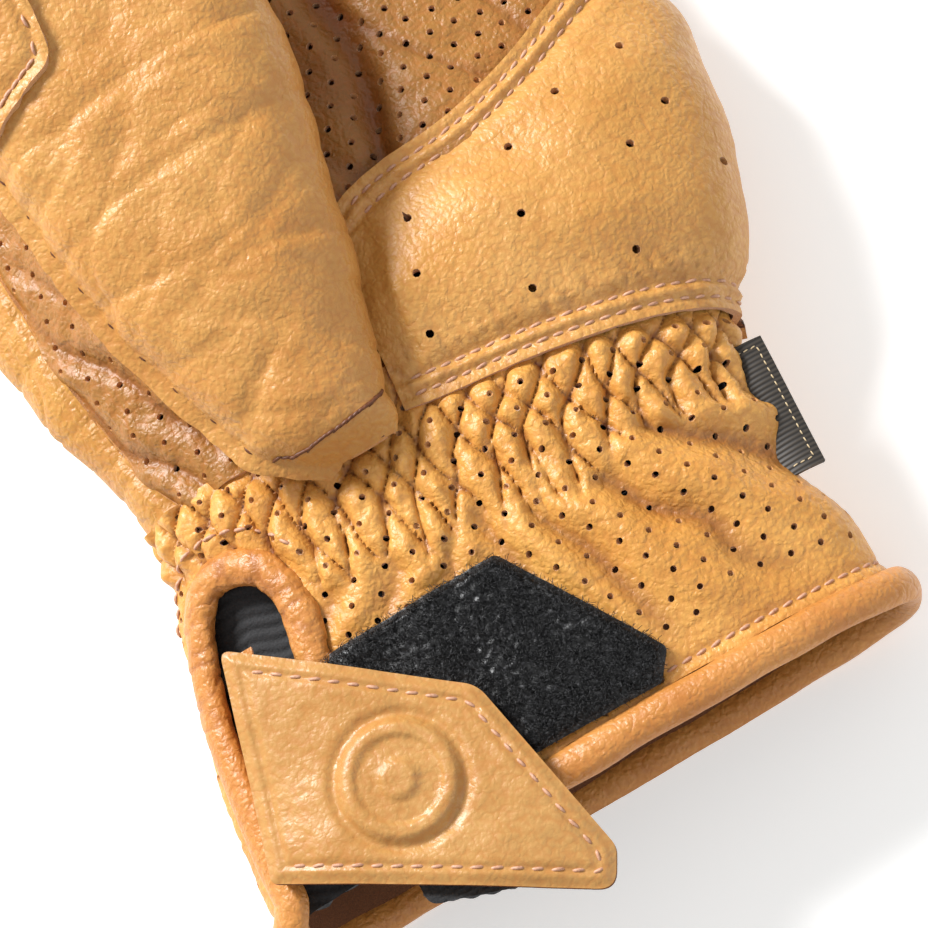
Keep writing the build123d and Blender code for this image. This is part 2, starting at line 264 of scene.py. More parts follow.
def leather(name, light, dark, grain=1.0, rough=0.4):
    material, tree, shader = new_material(name)
    where = add_node(tree, "ShaderNodeTexCoord").outputs["Object"]
    warp = add_node(tree, "ShaderNodeTexNoise", [("Vector", where)], Scale=0.5 / GRAIN, Detail=3.0)
    bent = add_node(tree, "ShaderNodeMixRGB", [("Color1", where), ("Color2", warp.outputs["Color"])],
                    blend_type="LINEAR_LIGHT", Fac=0.0008)
    cells = add_node(tree, "ShaderNodeTexVoronoi", [("Vector", bent.outputs["Color"])],
                     feature="SMOOTH_F1", Scale=1.0 / GRAIN, Smoothness=0.45)
    pores = add_node(tree, "ShaderNodeTexNoise", [("Vector", where)], Scale=2.2 / GRAIN, Detail=4.0)
    lines = add_node(tree, "ShaderNodeTexNoise", [("Vector", bent.outputs["Color"])], Scale=0.45 / GRAIN,
                     Detail=5.0, Roughness=0.6)
    clouds = add_node(tree, "ShaderNodeTexNoise", [("Vector", where)], Scale=0.07 / GRAIN, Detail=4.0)
    tone = add_node(tree, "ShaderNodeMapRange", [("Value", clouds.outputs["Fac"])],
                    From_Min=0.32, From_Max=0.68, To_Min=0.0, To_Max=1.0)
    base = add_node(tree, "ShaderNodeMixRGB", [("Fac", tone.outputs["Result"])],
                    Color1=hex_colour(light), Color2=hex_colour(dark))
    valley = add_node(tree, "ShaderNodeMapRange", [("Value", cells.outputs["Distance"])],
                      From_Min=0.35, From_Max=0.75, To_Min=0.0, To_Max=0.3)
    grained = add_node(tree, "ShaderNodeMixRGB",
                       [("Fac", valley.outputs["Result"]), ("Color1", base.outputs["Color"])],
                       Color2=hex_colour("#b0662a"))
    # painted shade: a per-point attribute of the sheet darkens its creases and folds to deep brown
    painted_shade = add_node(tree, "ShaderNodeAttribute", attribute_name="painted_shade")
    with_painted_shade = add_node(tree, "ShaderNodeMixRGB",
                       [("Fac", painted_shade.outputs["Fac"]), ("Color1", grained.outputs["Color"])],
                       Color2=hex_colour("#6a2a0a"))
    tree.links.new(with_painted_shade.outputs["Color"], shader.inputs["Base Color"])
    gloss = add_node(tree, "ShaderNodeMapRange", [("Value", lines.outputs["Fac"])],
                     From_Min=0.3, From_Max=0.7, To_Min=rough - 0.08, To_Max=rough + 0.12)
    tree.links.new(gloss.outputs["Result"], shader.inputs["Roughness"])
    fine = add_node(tree, "ShaderNodeBump", [("Height", pores.outputs["Fac"])],
                    Strength=0.45 * grain, Distance=0.14 * MM)
    soft = add_node(tree, "ShaderNodeBump",
                    [("Height", lines.outputs["Fac"]), ("Normal", fine.outputs["Normal"])],
                    Strength=0.5 * grain, Distance=0.4 * MM)
    bump = add_node(tree, "ShaderNodeBump",
                    [("Height", cells.outputs["Distance"]), ("Normal", soft.outputs["Normal"])],
                    Strength=0.75 * grain, Distance=0.22 * MM, invert=True)
    tree.links.new(bump.outputs["Normal"], shader.inputs["Normal"])
    shader.inputs["Specular IOR Level"].default_value = 0.5
    return material


punched_leather = leather("goat_leather_punched", "#d9a050", "#c98c3e")


def napped(name, scale, detail, dark, light, rough, bump, depth):
    """A two-coloured material with fine noise for its fibres. Scale is in fibres to the millimetre."""
    material, tree, shader = new_material(name)
    where = add_node(tree, "ShaderNodeTexCoord").outputs["Object"]
    fibres = add_node(tree, "ShaderNodeTexNoise", [("Vector", where)], Scale=scale / MM, Detail=detail)
    mixed = add_node(tree, "ShaderNodeMixRGB", [("Fac", fibres.outputs["Fac"])],
                     Color1=hex_colour(dark), Color2=hex_colour(light))
    tree.links.new(mixed.outputs["Color"], shader.inputs["Base Color"])
    raised = add_node(tree, "ShaderNodeBump", [("Height", fibres.outputs["Fac"])],
                      Strength=bump, Distance=depth * MM)
    tree.links.new(raised.outputs["Normal"], shader.inputs["Normal"])
    shader.inputs["Roughness"].default_value = rough
    return material


def recoloured(material, name, dark, light):
    """A copy of a two-coloured material in two other colours."""
    copy = material.copy()
    copy.name = name
    mixed = next(node for node in copy.node_tree.nodes if node.type == "MIX_RGB")
    mixed.inputs["Color1"].default_value = hex_colour(dark)
    mixed.inputs["Color2"].default_value = hex_colour(light)
    return copy


# Suede: the raw flesh side and the cut edges, napped and dull, darker than the grain side
suede = napped("raw_suede", 4.0, 4.0, "#57301a", "#8a5630", 0.95, 0.8, 0.2)
suede.node_tree.nodes["Principled BSDF"].inputs["Sheen Weight"].default_value = 0.3
raw_edge = recoloured(suede, "raw_cut_edge", "#a8682f", "#e0ab6c")


def smooth(t):
    t = np.clip(t, 0, 1)
    return t * t * (3 - 2 * t)


def waves(s, y, length, seed, count=12):
    """A soft random field between about -1 and 1, with waves of roughly one length."""
    draw = np.random.default_rng(seed)
    total = 0
    for _ in range(count):
        way, phase = draw.uniform(0, 2 * pi, 2)
        rate = 2 * pi / (length * draw.uniform(0.7, 1.5))
        total = total + np.cos(rate * (s * cos(way) + y * sin(way)) + phase)
    return total / np.sqrt(count / 2) / 2


def creases(s, y, length, seed):
    """Thin random valleys in the leather: 1 in a valley, 0 beside it."""
    return np.exp(-(waves(s, y, length, seed) / 0.16) ** 2)


def through(points, count=60):
    """A smooth line through points, evenly divided."""
    points = np.array(points, float)
    ends = np.vstack([2 * points[0] - points[1], points, 2 * points[-1] - points[-2]])
    line = []
    for k in range(len(points) - 1):
        a, b, c, d = ends[k:k + 4]
        t = np.linspace(0, 1, 24, endpoint=False)[:, None]
        line.append(0.5 * (2 * b + (c - a) * t + (2 * a - 5 * b + 4 * c - d) * t ** 2
                           + (3 * b - a - 3 * c + d) * t ** 3))
    return divide(np.vstack([*line, points[-1:]]), count)


def divide(line, count):
    """The same line with evenly spaced points."""
    line = np.asarray(line, float)
    walk = np.concatenate([[0], np.cumsum(np.linalg.norm(np.diff(line, axis=0), axis=1))])
    at = np.linspace(0, walk[-1], count)
    return np.stack([np.interp(at, walk, line[:, k]) for k in range(line.shape[1])], axis=1)


def rounded(points, radius, count=240):
    """A closed outline with rounded corners, evenly divided."""
    points = np.array(points, float)
    line = []
    for k, corner in enumerate(points):
        before, after = points[k - 1] - corner, points[(k + 1) % len(points)] - corner
        r = radius[k] if hasattr(radius, "__len__") else radius
        half = np.arccos(np.clip(before @ after / np.linalg.norm(before) / np.linalg.norm(after), -1, 1)) / 2
        reach = r / np.tan(half)
        a = corner + before / np.linalg.norm(before) * reach
        b = corner + after / np.linalg.norm(after) * reach
        t = np.linspace(0, 1, 14)[:, None]
        line.append((1 - t) ** 2 * a + 2 * t * (1 - t) * corner + t ** 2 * b)
    line.append(line[0][:1])
    return divide(np.vstack(line), count)


def inset(line, distance):
    """A line moved sideways, to its left."""
    line = np.asarray(line, float)
    step = np.gradient(line, axis=0)
    step = step / np.linalg.norm(step, axis=1)[:, None]
    return line + distance * np.stack([-step[:, 1], step[:, 0]], axis=1)


def away(s, y, path):
    """Distance from points to a line on the leather."""
    path = np.asarray(path, float)
    best = np.full(np.shape(s), 1e9)
    for (ax, ay), (bx, by) in zip(path[:-1], path[1:]):
        dx, dy = bx - ax, by - ay
        t = np.clip(((s - ax) * dx + (y - ay) * dy) / (dx * dx + dy * dy), 0, 1)
        best = np.minimum(best, (s - ax - t * dx) ** 2 + (y - ay - t * dy) ** 2)
    return np.sqrt(best)


def punch(s, y, centres, radius, drop):
    """Moves the grid so that it has round holes. The middle point of each hole is marked to drop."""
    rows, cols = s.shape
    for cx, cy in centres:
        i, j = np.unravel_index(np.argmin((s - cx) ** 2 + (y - cy) ** 2), s.shape)
        if not (2 < i < rows - 3 and 2 < j < cols - 3) or drop[i - 2:i + 3, j - 2:j + 3].any():
            continue
        if hypot(s[i, j] - cx, y[i, j] - cy) > 1.2:
            continue
        start = np.arctan2(y[i, j + 1] - y[i, j], s[i, j + 1] - s[i, j])
        turned = np.sign((s[i, j + 1] - s[i, j]) * (y[i + 1, j] - y[i, j])
                         - (y[i, j + 1] - y[i, j]) * (s[i + 1, j] - s[i, j]))
        ring = [(0, 1), (1, 1), (1, 0), (1, -1), (0, -1), (-1, -1), (-1, 0), (-1, 1)]
        for k, (di, dj) in enumerate(ring):
            angle = start + turned * k * pi / 4
            s[i + di, j + dj] = cx + radius * cos(angle)
            y[i + di, j + dj] = cy + radius * sin(angle)
        drop[i, j] = True


def make_sheet(name, points, material, thick=1.2, drop=None, painted_shade=None, inside=None, closed=False):
    """A leather sheet: a grid laid out over points (rows, columns, xyz), with holes and thickness."""
    rows, cols = points.shape[:2]
    bpy.ops.object.select_all(action="DESELECT")
    bpy.ops.mesh.primitive_grid_add(x_subdivisions=cols - 1, y_subdivisions=rows - 1, size=1)
    piece = bpy.context.object
    piece.name = piece.data.name = name
    piece.data.vertices.foreach_set("co", ((points + ORIGIN) * MM).reshape(-1))
    # per-point painted shade for creases and folds, which the leather's colour reads
    marks = piece.data.attributes.new("painted_shade", "FLOAT", "POINT")
    if painted_shade is not None:
        marks.data.foreach_set("value", np.clip(painted_shade, 0, 1).reshape(-1).astype(np.float32))
    while piece.data.uv_layers:
        piece.data.uv_layers.remove(piece.data.uv_layers[0])
    piece.data.materials.append(material)
    piece.data.materials.append(inside or suede)
    piece.data.materials.append(inside or raw_edge)
    bpy.ops.object.mode_set(mode="EDIT")
    bpy.ops.mesh.select_all(action="DESELECT")
    bpy.ops.object.mode_set(mode="OBJECT")
    if drop is not None and drop.any():
        piece.data.vertices.foreach_set("select", drop.reshape(-1))
        bpy.ops.object.mode_set(mode="EDIT")
        bpy.ops.mesh.delete(type="VERT")
        bpy.ops.object.mode_set(mode="OBJECT")
    if closed:
        bpy.ops.object.mode_set(mode="EDIT")
        bpy.ops.mesh.select_all(action="SELECT")
        bpy.ops.mesh.remove_doubles(threshold=0.02 * MM)
        bpy.ops.object.mode_set(mode="OBJECT")
    if thick:
        wall = piece.modifiers.new("wall", "SOLIDIFY")
        wall.thickness = thick * MM
        wall.offset = -1
        wall.material_offset = 1
        wall.material_offset_rim = 2
        bpy.ops.object.modifier_apply(modifier="wall")
    bpy.ops.object.shade_smooth_by_angle(angle=radians(66))
    return piece


def settle(piece, body, slot, *nodes):
    """Says what a piece moves with, and hides the nodes that it stands for. Its slot is not used."""
    if body == "wrist":
        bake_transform(piece)
    else:
        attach(piece, body)
    if nodes:
        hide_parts(*nodes)


# Stitches are of bonded polyester thread, pinkish tan, in a lockstitch. Each stitch is a short twisted
# bead that dips into the leather at both ends.
STITCH_STEP = 2.3
thread = napped("bonded_thread", 2.2, 2.0, "#9c6242", "#dfb497", 0.5, 0.7, 0.1)

# one stitch: rings of points along its length, thin at both ends, and the faces between them
bead_rings, bead_sides = 5, 6
across = np.linspace(-1, 1, bead_rings)
bead = []
for k, t in enumerate(across):
    thick = 0.27 * (1 - 0.5 * t ** 4)
    for side in range(bead_sides):
        angle = 2 * pi * side / bead_sides + 0.5 * t
        bead.append((1.02 * t, thick * cos(angle), thick * sin(angle) - 0.34 * t ** 2))
bead = np.array(bead)
bead_faces = []
for k in range(bead_rings - 1):
    for side in range(bead_sides):
        after = (side + 1) % bead_sides
        bead_faces.append((k * bead_sides + side, k * bead_sides + after,
                           (k + 1) * bead_sides + after, (k + 1) * bead_sides + side))
bead_faces.append(tuple(range(bead_sides))[::-1])
bead_faces.append(tuple(range((bead_rings - 1) * bead_sides, bead_rings * bead_sides)))


def many(name, points, faces, material):
    """One piece made of many like ones: points (count, points of one, xyz), and the faces of one."""
    count, of_one = points.shape[:2]
    all_faces = [tuple(v + k * of_one for v in face) for k in range(count) for face in faces]
    mesh = bpy.data.meshes.new(name)
    mesh.from_pydata(((points.reshape(-1, 3) + ORIGIN) * MM).tolist(), [], all_faces)
    mesh.shade_smooth()
    piece = bpy.data.objects.new(name, mesh)
    bpy.context.scene.collection.objects.link(piece)
    mesh.materials.append(material)
    return piece


def stitches(name, path, surface, lift, step=STITCH_STEP, material=None, size=1.0):
    """A row of stitches along a path on a surface. Lift is a number or a function of the place."""
    path = np.asarray(path, float)
    length = np.linalg.norm(np.diff(surface(path[:, 0], path[:, 1], 0.0), axis=0), axis=1).sum()
    count = max(int(length / step), 2)
    line = divide(path, 2 * count + 1)
    height = lift(line[:, 0], line[:, 1]) if callable(lift) else np.full(len(line), float(lift))
    on = surface(line[:, 0], line[:, 1], height)
    above = surface(line[:, 0], line[:, 1], height + 1.0)
    mid, ahead = on[1::2], on[2::2] - on[:-2:2]
    ahead = ahead / np.linalg.norm(ahead, axis=1)[:, None]
    normal = (above - on)[1::2]
    normal = normal - (normal * ahead).sum(1)[:, None] * ahead
    normal = normal / np.linalg.norm(normal, axis=1)[:, None]
    side = np.cross(normal, ahead)
    draw = np.random.default_rng(len(name) * 7 + count)
    slant = draw.normal(0.10, 0.06, count)[:, None]
    ahead = ahead + slant * side
    points = (mid[:, None] + size * (bead[None, :, :1] * ahead[:, None] + bead[None, :, 1:2] * side[:, None]
              + (bead[None, :, 2:] + 0.12) * normal[:, None]))
    return many(name, points, bead_faces, material or thread)


HOLE_RADIUS = 0.48
HEM_ROW = 4.8             # how far the hem stitches are from the mouth
VENT_ROW = 5.2            # and those round the vent from its edge
FAN_X, FAN_Y = 0.0, 57.0
FAN_STEP = 0.3
PUFF_PITCH = 5.2
PUFF_LEAN = radians(31)
SLANT_PITCH = 4.9
SLANT_LEAN = radians(14)
BAND_EDGE = [(-60, 66), (-42, 66), (-30, 61), (-20, 57.0), (-5, 53.5), (-1, 55.5), (5, 54),
             (16, 52.8), (25, 51.4), (33, 49.9), (42, 47.8), (48, 45.9), (62, 42)]
VENT = [(-31.5, -6), (-31.4, 4), (-31.0, 20), (-30.2, 31.7), (-28.6, 38), (-28.7, 42.5), (-30.6, 47),
        (-34, 49.4), (-37.8, 49.8), (-41, 47.4), (-43.4, 43), (-45.6, 36.8), (-47.4, 29), (-48.6, 20),
        (-49.8, 8), (-50.3, -6)]
vent = through(VENT, 240)
vent = np.stack([round_of(vent[:, 0], vent[:, 1]), vent[:, 1]], axis=1)
LOOP_PATCH = [(-30, 31), (-1.2, 30.8), (12.6, 7.6), (9.4, 3.6), (-30, 4.8)]
loop_outline = rounded(LOOP_PATCH, 1.2, 100)


def gather(s, y):
    """Height of the shirred leather, and the shade painted between its puffs and in its valleys."""
    below = np.interp(s, *np.transpose(BAND_EDGE)) - y
    deep_to = np.interp(s, [-40, -15, 8, 30, 60], [17, 22, 22, 18, 16])
    band = smooth((deep_to + 2.5 * waves(s, y, 14, 5) - below) / 6)
    ws, wy = 1.0 * waves(s, y, 14, 1), 1.0 * waves(s, y, 13, 2)
    bow = 0.3 * np.clip(below, -4, 9) - 0.25 * np.clip(below - 9, 0, 20)
    a = ((s + ws) * cos(PUFF_LEAN) - (y + wy) * sin(PUFF_LEAN) + bow) / PUFF_PITCH
    b = ((s + wy) * cos(SLANT_LEAN) + (y + ws) * sin(SLANT_LEAN)) / SLANT_PITCH
    deep = np.abs(np.sin(pi * a)) * np.clip(1 - 0.25 * waves(s, y, 9, 6), 0.5, 1)
    slanted = np.abs(np.sin(pi * b))
    puff = (deep * slanted) ** 0.37
    theta = np.arctan2(s + wy - FAN_X, FAN_Y - y)
    reach = smooth((y + 6) / 30)
    folds = (0.5 - 0.5 * np.cos(2 * pi * theta / FAN_STEP)) ** 0.7
    right_side = 0.55 + 0.45 * smooth((s + 8) / 26)
    wrinkle = creases(s * 0.9 + y * 0.5, y * 0.35, 2.6, 8)
    near = smooth(1.15 - 1.35 * puff) * band
    height = band * (2.5 * puff + 0.22 * waves(s, y, 2.4, 3)) - 0.25 * wrinkle * near
    height = height + (1 - band) * (3.0 * reach * right_side * folds + 0.35 * waves(s, y, 16, 4))
    height = height + 0.05 * waves(s, y, 1.8, 9) - 0.12 * creases(s, y, 6.0, 10) * (1 - band)
    # painted shade: dark between the puffs, in the wrinkles beside them and in the fanned folds' valleys
    dark = band * np.clip(1.0 - puff * 2.0, 0, 1) + 0.25 * wrinkle * near
    dark = dark + (1 - band) * 0.65 * reach * right_side * np.clip(1 - folds * 2.4, 0, 1)
    sewn = smooth((below + 0.6) / 3.6)
    return height * (0.25 + 0.75 * sewn), dark


def cuff_lift(s, y):
    height = gather(s, y)[0]
    at_mouth = smooth((y - 3.0) / 9)
    row = np.exp(-((y - HEM_ROW) / 0.7) ** 2)
    beside_patch = np.where(inside(s, y, loop_outline), 0, smooth(away(s, y, loop_outline) / 3))
    beside_vent = smooth((away(s, y, vent) - 1.5) / 4)
    return height * at_mouth * (0.3 + 0.7 * beside_patch) * (0.35 + 0.65 * beside_vent) - 0.4 * row


def hole_grid(x0, x1, y0, y1, pitch, row, lean=0.0):
    """Staggered rows of hole centres, a little uneven as punched leather is after it is stretched."""
    draw = np.random.default_rng(int(pitch * 100))
    centres = []
    for k, y in enumerate(np.arange(y0 - 10, y1 + 10, row)):
        for x in np.arange(x0 + (k % 2) * pitch / 2, x1, pitch):
            down = y + lean * x
            if y0 < down < y1:
                centres.append((x + draw.normal(0, 0.12), down + draw.normal(0, 0.12)))
    return centres


def inside(s, y, outline):
    """True inside a closed outline, by how often a line crosses it."""
    crossings = np.zeros(np.shape(s))
    for (ax, ay), (bx, by) in zip(outline, np.roll(outline, -1, axis=0)):
        if ay == by:
            continue
        hit = (min(ay, by) <= y) & (y < max(ay, by)) & (s < ax + (y - ay) / (by - ay) * (bx - ax))
        crossings = crossings + hit
    return crossings % 2 == 1


def front_grid(y0, y1, cell, s0=None, s1=None):
    rows = int((y1 - y0) / cell) + 1
    ys = np.linspace(y0, y1, rows)[:, None]
    low = seam(ys, -1) if s0 is None else np.full_like(ys, s0)
    high = seam(ys, 1) if s1 is None else np.full_like(ys, s1)
    cols = int((high - low).max() / cell) + 1
    s = low + (high - low) * np.linspace(0, 1, cols)[None]
    return s, ys + 0 * s


def tucked(s, y, depth=1.6, width=2.2):
    """How far the leather turns in at the side seams."""
    edge = np.minimum(np.abs(s - seam(y, -1)), np.abs(s - seam(y, 1)))
    return -depth * (1 - smooth(edge / width)) * smooth((y - 2) / 6)


s, y = front_grid(0.6, 62.0, 0.42)
drop = inside(s, y, vent)
holes = [hole for hole in hole_grid(-58, 62, 9.0, 61, 4.5, 3.3, -0.14) if not inside(*hole, loop_outline)]
punch(s, y, holes, HOLE_RADIUS, drop)
height, dark = gather(s, y)
lift = cuff_lift(s, y) + tucked(s, y)
# the gathers' painted shade goes on the sheet as its per-point shade
cuff_front = make_sheet("cuff_front_leather", skin(s, y, lift), punched_leather, drop=drop,
                        painted_shade=dark * smooth((y - 3) / 9))
settle(cuff_front, "wrist", "perforated_leather", "cuff_front", "wrist_front")
row = np.stack([np.linspace(-26.5, seam(HEM_ROW, 1) - 2, 90), np.full(90, HEM_ROW)], axis=1)
hem_stitches = stitches("cuff_hem_stitches", row, skin, cuff_lift)
settle(hem_stitches, "cuff", "tan_leather")
round_vent = inset(vent[(vent[:, 1] > 33)], -VENT_ROW)
round_vent = round_vent[(round_vent[:, 0] > seam(round_vent[:, 1], -1) + 1) & (round_vent[:, 1] > 46)]
vent_stitches = stitches("vent_stitches", round_vent, skin, lambda s, y: cuff_lift(s, y) + 0.1)
settle(vent_stitches, "wrist", "tan_leather")


# Back of the glove --------------------------------------------------------------------------------
# The leather that the glove lies on: cuff, smooth back of the hand and punched knuckles, sewn end to
# end, and flat where it rests on the table.
tan_leather = leather("goat_leather_smooth", "#d39b52", "#c68b42")


def back_grid(y0, y1, cell):
    rows = int((y1 - y0) / cell) + 1
    ys = np.linspace(y0, y1, rows)[:, None]
    low, high = seam(ys, 1), seam(ys, -1) + whole_round(ys)
    cols = int((high - low).max() / cell) + 1
    s = low + (high - low) * np.linspace(0, 1, cols)[None]
    return s, ys + 0 * s


def back_lift(s, y, y0, y1):
    edge = np.minimum(np.abs(s - seam(y, 1)), np.abs(seam(y, -1) + whole_round(y) - s))
    ends = np.minimum(y - y0, y1 - y)
    tuck = -1.6 * (1 - smooth(edge / 2.2)) * smooth((y - 2) / 6) - 0.9 * (1 - smooth(ends / 1.6)) * (y > 20)
    middle = smooth((edge - 8) / 8)
    return tuck + (0.35 * waves(s, y, 9, 21) - 0.25 * creases(s, y, 9, 22)) * (1 - middle)


BACKS = [("cuff_back_leather", 0.6, 57.0, ["cuff_back", "wrist_back"], punched_leather, 4.5,
          (0.124, 0.062), 0.0064),
         ("back_of_hand_leather", 56.2, 112.4, ["back_panel"], tan_leather, None, (0.125, 0.0585), 0.0068),
         ("knuckle_leather", 111.6, 150.0, ["knuckle_panel"], punched_leather, 4.5, (0.134, 0.0421), 0.0048)]
for name, y0, y1, nodes, material, pitch, flat, area in BACKS:
    s, y = back_grid(y0, y1, 0.9)
    drop = np.zeros(s.shape, bool)
    if y0 < 40:
        drop = inside(s - whole_round(y), y, vent)
    if pitch:
        punch(s, y, hole_grid(seam(80, 1) + 6, 190, y0 + 7, y1 - 5, pitch, 3.6), HOLE_RADIUS, drop)
    lift = back_lift(s, y, y0, y1)
    piece = make_sheet(name, skin(s, y, lift), material, drop=drop)
    settle(piece, "wrist" if y0 < 60 else "hand", "perforated_leather" if pitch else "tan_leather", *nodes)


# Rolled edge --------------------------------------------------------------------------------------
# A folded strip of leather that closes the cut edge all round the mouth and up both sides of the
# vent in one length. It is sewn over, plump, and wrinkles where it turns round the top of the vent.
rolled_leather = leather("goat_leather_rolled", "#c98b46", "#b87836", rough=0.38)


def round_corner(a, corner, b):
    t = np.linspace(0, 1, 12)[1:-1, None]
    return (1 - t) ** 2 * a + 2 * t * (1 - t) * corner + t ** 2 * b


turn = float(whole_round(0.2))
path = vent[(vent[:, 1] > 5)]
climb = path[::-1] + np.stack([whole_round(path[::-1][:, 1]), 0 * path[:, 1]], axis=1)
outer_corner = np.array([climb[0, 0] + 0.3, 0.2])
front_run = np.stack([np.linspace(-26.0, outer_corner[0] - 5, 300), np.full(300, 0.2)], axis=1)
inner_corner = np.array([-31.4 + turn, 0.2])
end = np.array([-26.0 + turn, 0.2])
loop = np.vstack([front_run, round_corner(front_run[-1], outer_corner, climb[0]), climb,
                  round_corner(climb[-1], inner_corner, end), [end]])
loop = divide(loop, 640)
back_at = np.where(loop[:, 0] > 155, whole_round(loop[:, 1]), 0)
centre, outer = skin(loop[:, 0] - back_at, loop[:, 1], 0.4), skin(loop[:, 0] - back_at, loop[:, 1], 1.4)
centre[-1], outer[-1] = centre[0], outer[0]
ahead = np.roll(centre, -1, axis=0) - np.roll(centre, 1, axis=0)
ahead[0] = ahead[-1] = centre[1] - centre[-2]
ahead = ahead / np.linalg.norm(ahead, axis=1)[:, None]
normal = outer - centre
normal = normal - (normal * ahead).sum(1)[:, None] * ahead
normal = normal / np.linalg.norm(normal, axis=1)[:, None]
sideways = np.cross(normal, ahead)
walk = np.concatenate([[0], np.cumsum(np.linalg.norm(np.diff(centre, axis=0), axis=1))])
angles = np.linspace(0, 2 * pi, 25)
tight = smooth((loop[:, 1] - 22) / 18)[:, None]
wob = waves(walk[:, None] * 1.0, angles[None] * 3.5, 3.4, 31)
slow = waves(walk[:, None] * 1.0, angles[None] * 2.0, 12.0, 32)
swell = 1 + 0.05 * tight * wob + 0.05 * slow
pinch = creases(walk[:, None] * 1.0, angles[None] * 1.2, 5.5, 33) * (0.1 + 0.9 * tight)
swell = swell - 0.1 * pinch
swell[-1] = swell[0]
half_wide, half_thick = 2.7, 1.9
points = (centre[:, None] + sideways[:, None] * (half_wide * swell * np.cos(angles))[..., None]
          + normal[:, None] * (half_thick * swell * np.sin(angles))[..., None])
points[..., 2] = np.maximum(points[..., 2], 0.05)
# painted shade in the pinches, as well as their dip
binding = make_sheet("rolled_edge", points, rolled_leather, thick=0, painted_shade=0.4 * pinch, closed=True)
settle(binding, "wrist", "rolled_edge_leather", "cuff_binding", "vent_binding")


# Vent gusset and inner elastic --------------------------------------------------------------------
# Black ribbed elastic: a gusset that fills the vent, and a band inside the wrist that gathers it.
elastic = napped("ribbed_elastic", 3.0, 3.0, "#0c0c0d", "#3a3a3c", 0.85, 0.8, 0.15)
RIB = 1.7

s, y = front_grid(2.8, 50.5, 0.4, -55.0, -26.5)
s = np.maximum(s, seam(y, -1) + 1.5)
ribs = np.abs(np.sin(pi * (s * 0.25 + y * 0.97 + 0.8 * waves(s, y, 14, 41)) / RIB)) ** 0.7
dip = 2.8 * smooth((50.5 - y) / 14) * smooth(1.2 - np.abs(s + 38) / 14)
gusset = make_sheet("vent_gusset_elastic", skin(s, y, -2.2 - dip + 0.45 * ribs), elastic, thick=0.8,
                    inside=elastic)
settle(gusset, "wrist", "ribbed_elastic", "vent_gusset")

ys = np.linspace(30, 45, 20)[:, None]
turns = np.linspace(0, 1, 140)[None]
s = -26.0 + (whole_round(ys) - 22) * turns
ribs = np.abs(np.sin(pi * s / 2.4))
inner = make_sheet("inner_elastic_band", skin(s, ys + 0 * s, -3.0 + 0.35 * ribs), elastic, thick=0.8,
                   inside=elastic)
settle(inner, "wrist", "ribbed_elastic", "wrist_elastic")


# Heel pad -----------------------------------------------------------------------------------------
# A second layer of goat leather over foam on the heel of the palm, with a few large vent holes. It is
# held by two rows of stitches along its lower and upper edges.
heel_leather = leather("goat_leather_heel", "#cc9852", "#c18a42", grain=0.9)
HEEL_LOW = [(-1.7, 54.8), (5, 53.7), (15.6, 52.5), (24.6, 51.1), (33.4, 49.6), (41.8, 47.5), (47.5, 45.6)]
HEEL_TOP = [(3.6, 85.2), (7.5, 86.8), (13.9, 88), (21.7, 88.6), (29.3, 90.2), (37.6, 93.2), (44.6, 96.7),
            (53, 101)]
HEEL_LEFT = [(-1.7, 54.8), (-0.8, 62.8), (-0.2, 71), (1.6, 78.6), (3.6, 85.2)]


def patch(bottom, top, left, right, cell):
    """Grid of points between four edges that meet at their ends. Left and right run from the bottom."""
    wide = max(np.linalg.norm(np.diff(e, axis=0), axis=1).sum() for e in (bottom, top))
    tall = max(np.linalg.norm(np.diff(e, axis=0), axis=1).sum() for e in (left, right))
    cols, rows = int(wide / cell) + 1, int(tall / cell) + 1
    bottom, top = divide(bottom, cols)[None], divide(top, cols)[None]
    left, right = divide(left, rows)[:, None], divide(right, rows)[:, None]
    u = np.linspace(0, 1, cols)[None, :, None]
    v = np.linspace(0, 1, rows)[:, None, None]
    corners = ((1 - u) * (1 - v) * bottom[:, :1] + u * (1 - v) * bottom[:, -1:]
               + (1 - u) * v * top[:, :1] + u * v * top[:, -1:])
    grid = (1 - v) * bottom + v * top + (1 - u) * left + u * right - corners
    return grid[..., 0], grid[..., 1]


def on_skin(points):
    points = np.array(points, float)
    return np.stack([round_of(points[:, 0], points[:, 1]), points[:, 1]], axis=1)


heel_low = on_skin(HEEL_LOW)
heel_low = through([*heel_low, (float(seam(43.5, 1)), 43.5)], 120)
heel_top = on_skin(HEEL_TOP)
heel_top = through([*heel_top, (float(seam(104, 1)), 104.0)], 120)
heel_left = through(HEEL_LEFT, 80)
edge_y = np.linspace(43.5, 104.0, 80)
heel_right = np.stack([seam(edge_y, 1), edge_y], axis=1)
HEEL_HOLES = [(50, 86), (43.5, 72), (54, 66), (29.4, 80), (25.8, 70), (37, 58.5), (12.3, 78), (9.4, 70),
              (22, 60.3), (6.7, 62), (39, 84), (51, 76)]
HEEL_ROWS = (1.7, 4.0)


def heel_creases(s, y):
    """Short creases that the stitches pull up into the pad from its lower edge."""
    return creases(s * 1.1, y * 0.22, 3.4, 52) * smooth(1.2 - away(s, y, heel_low) / 11)


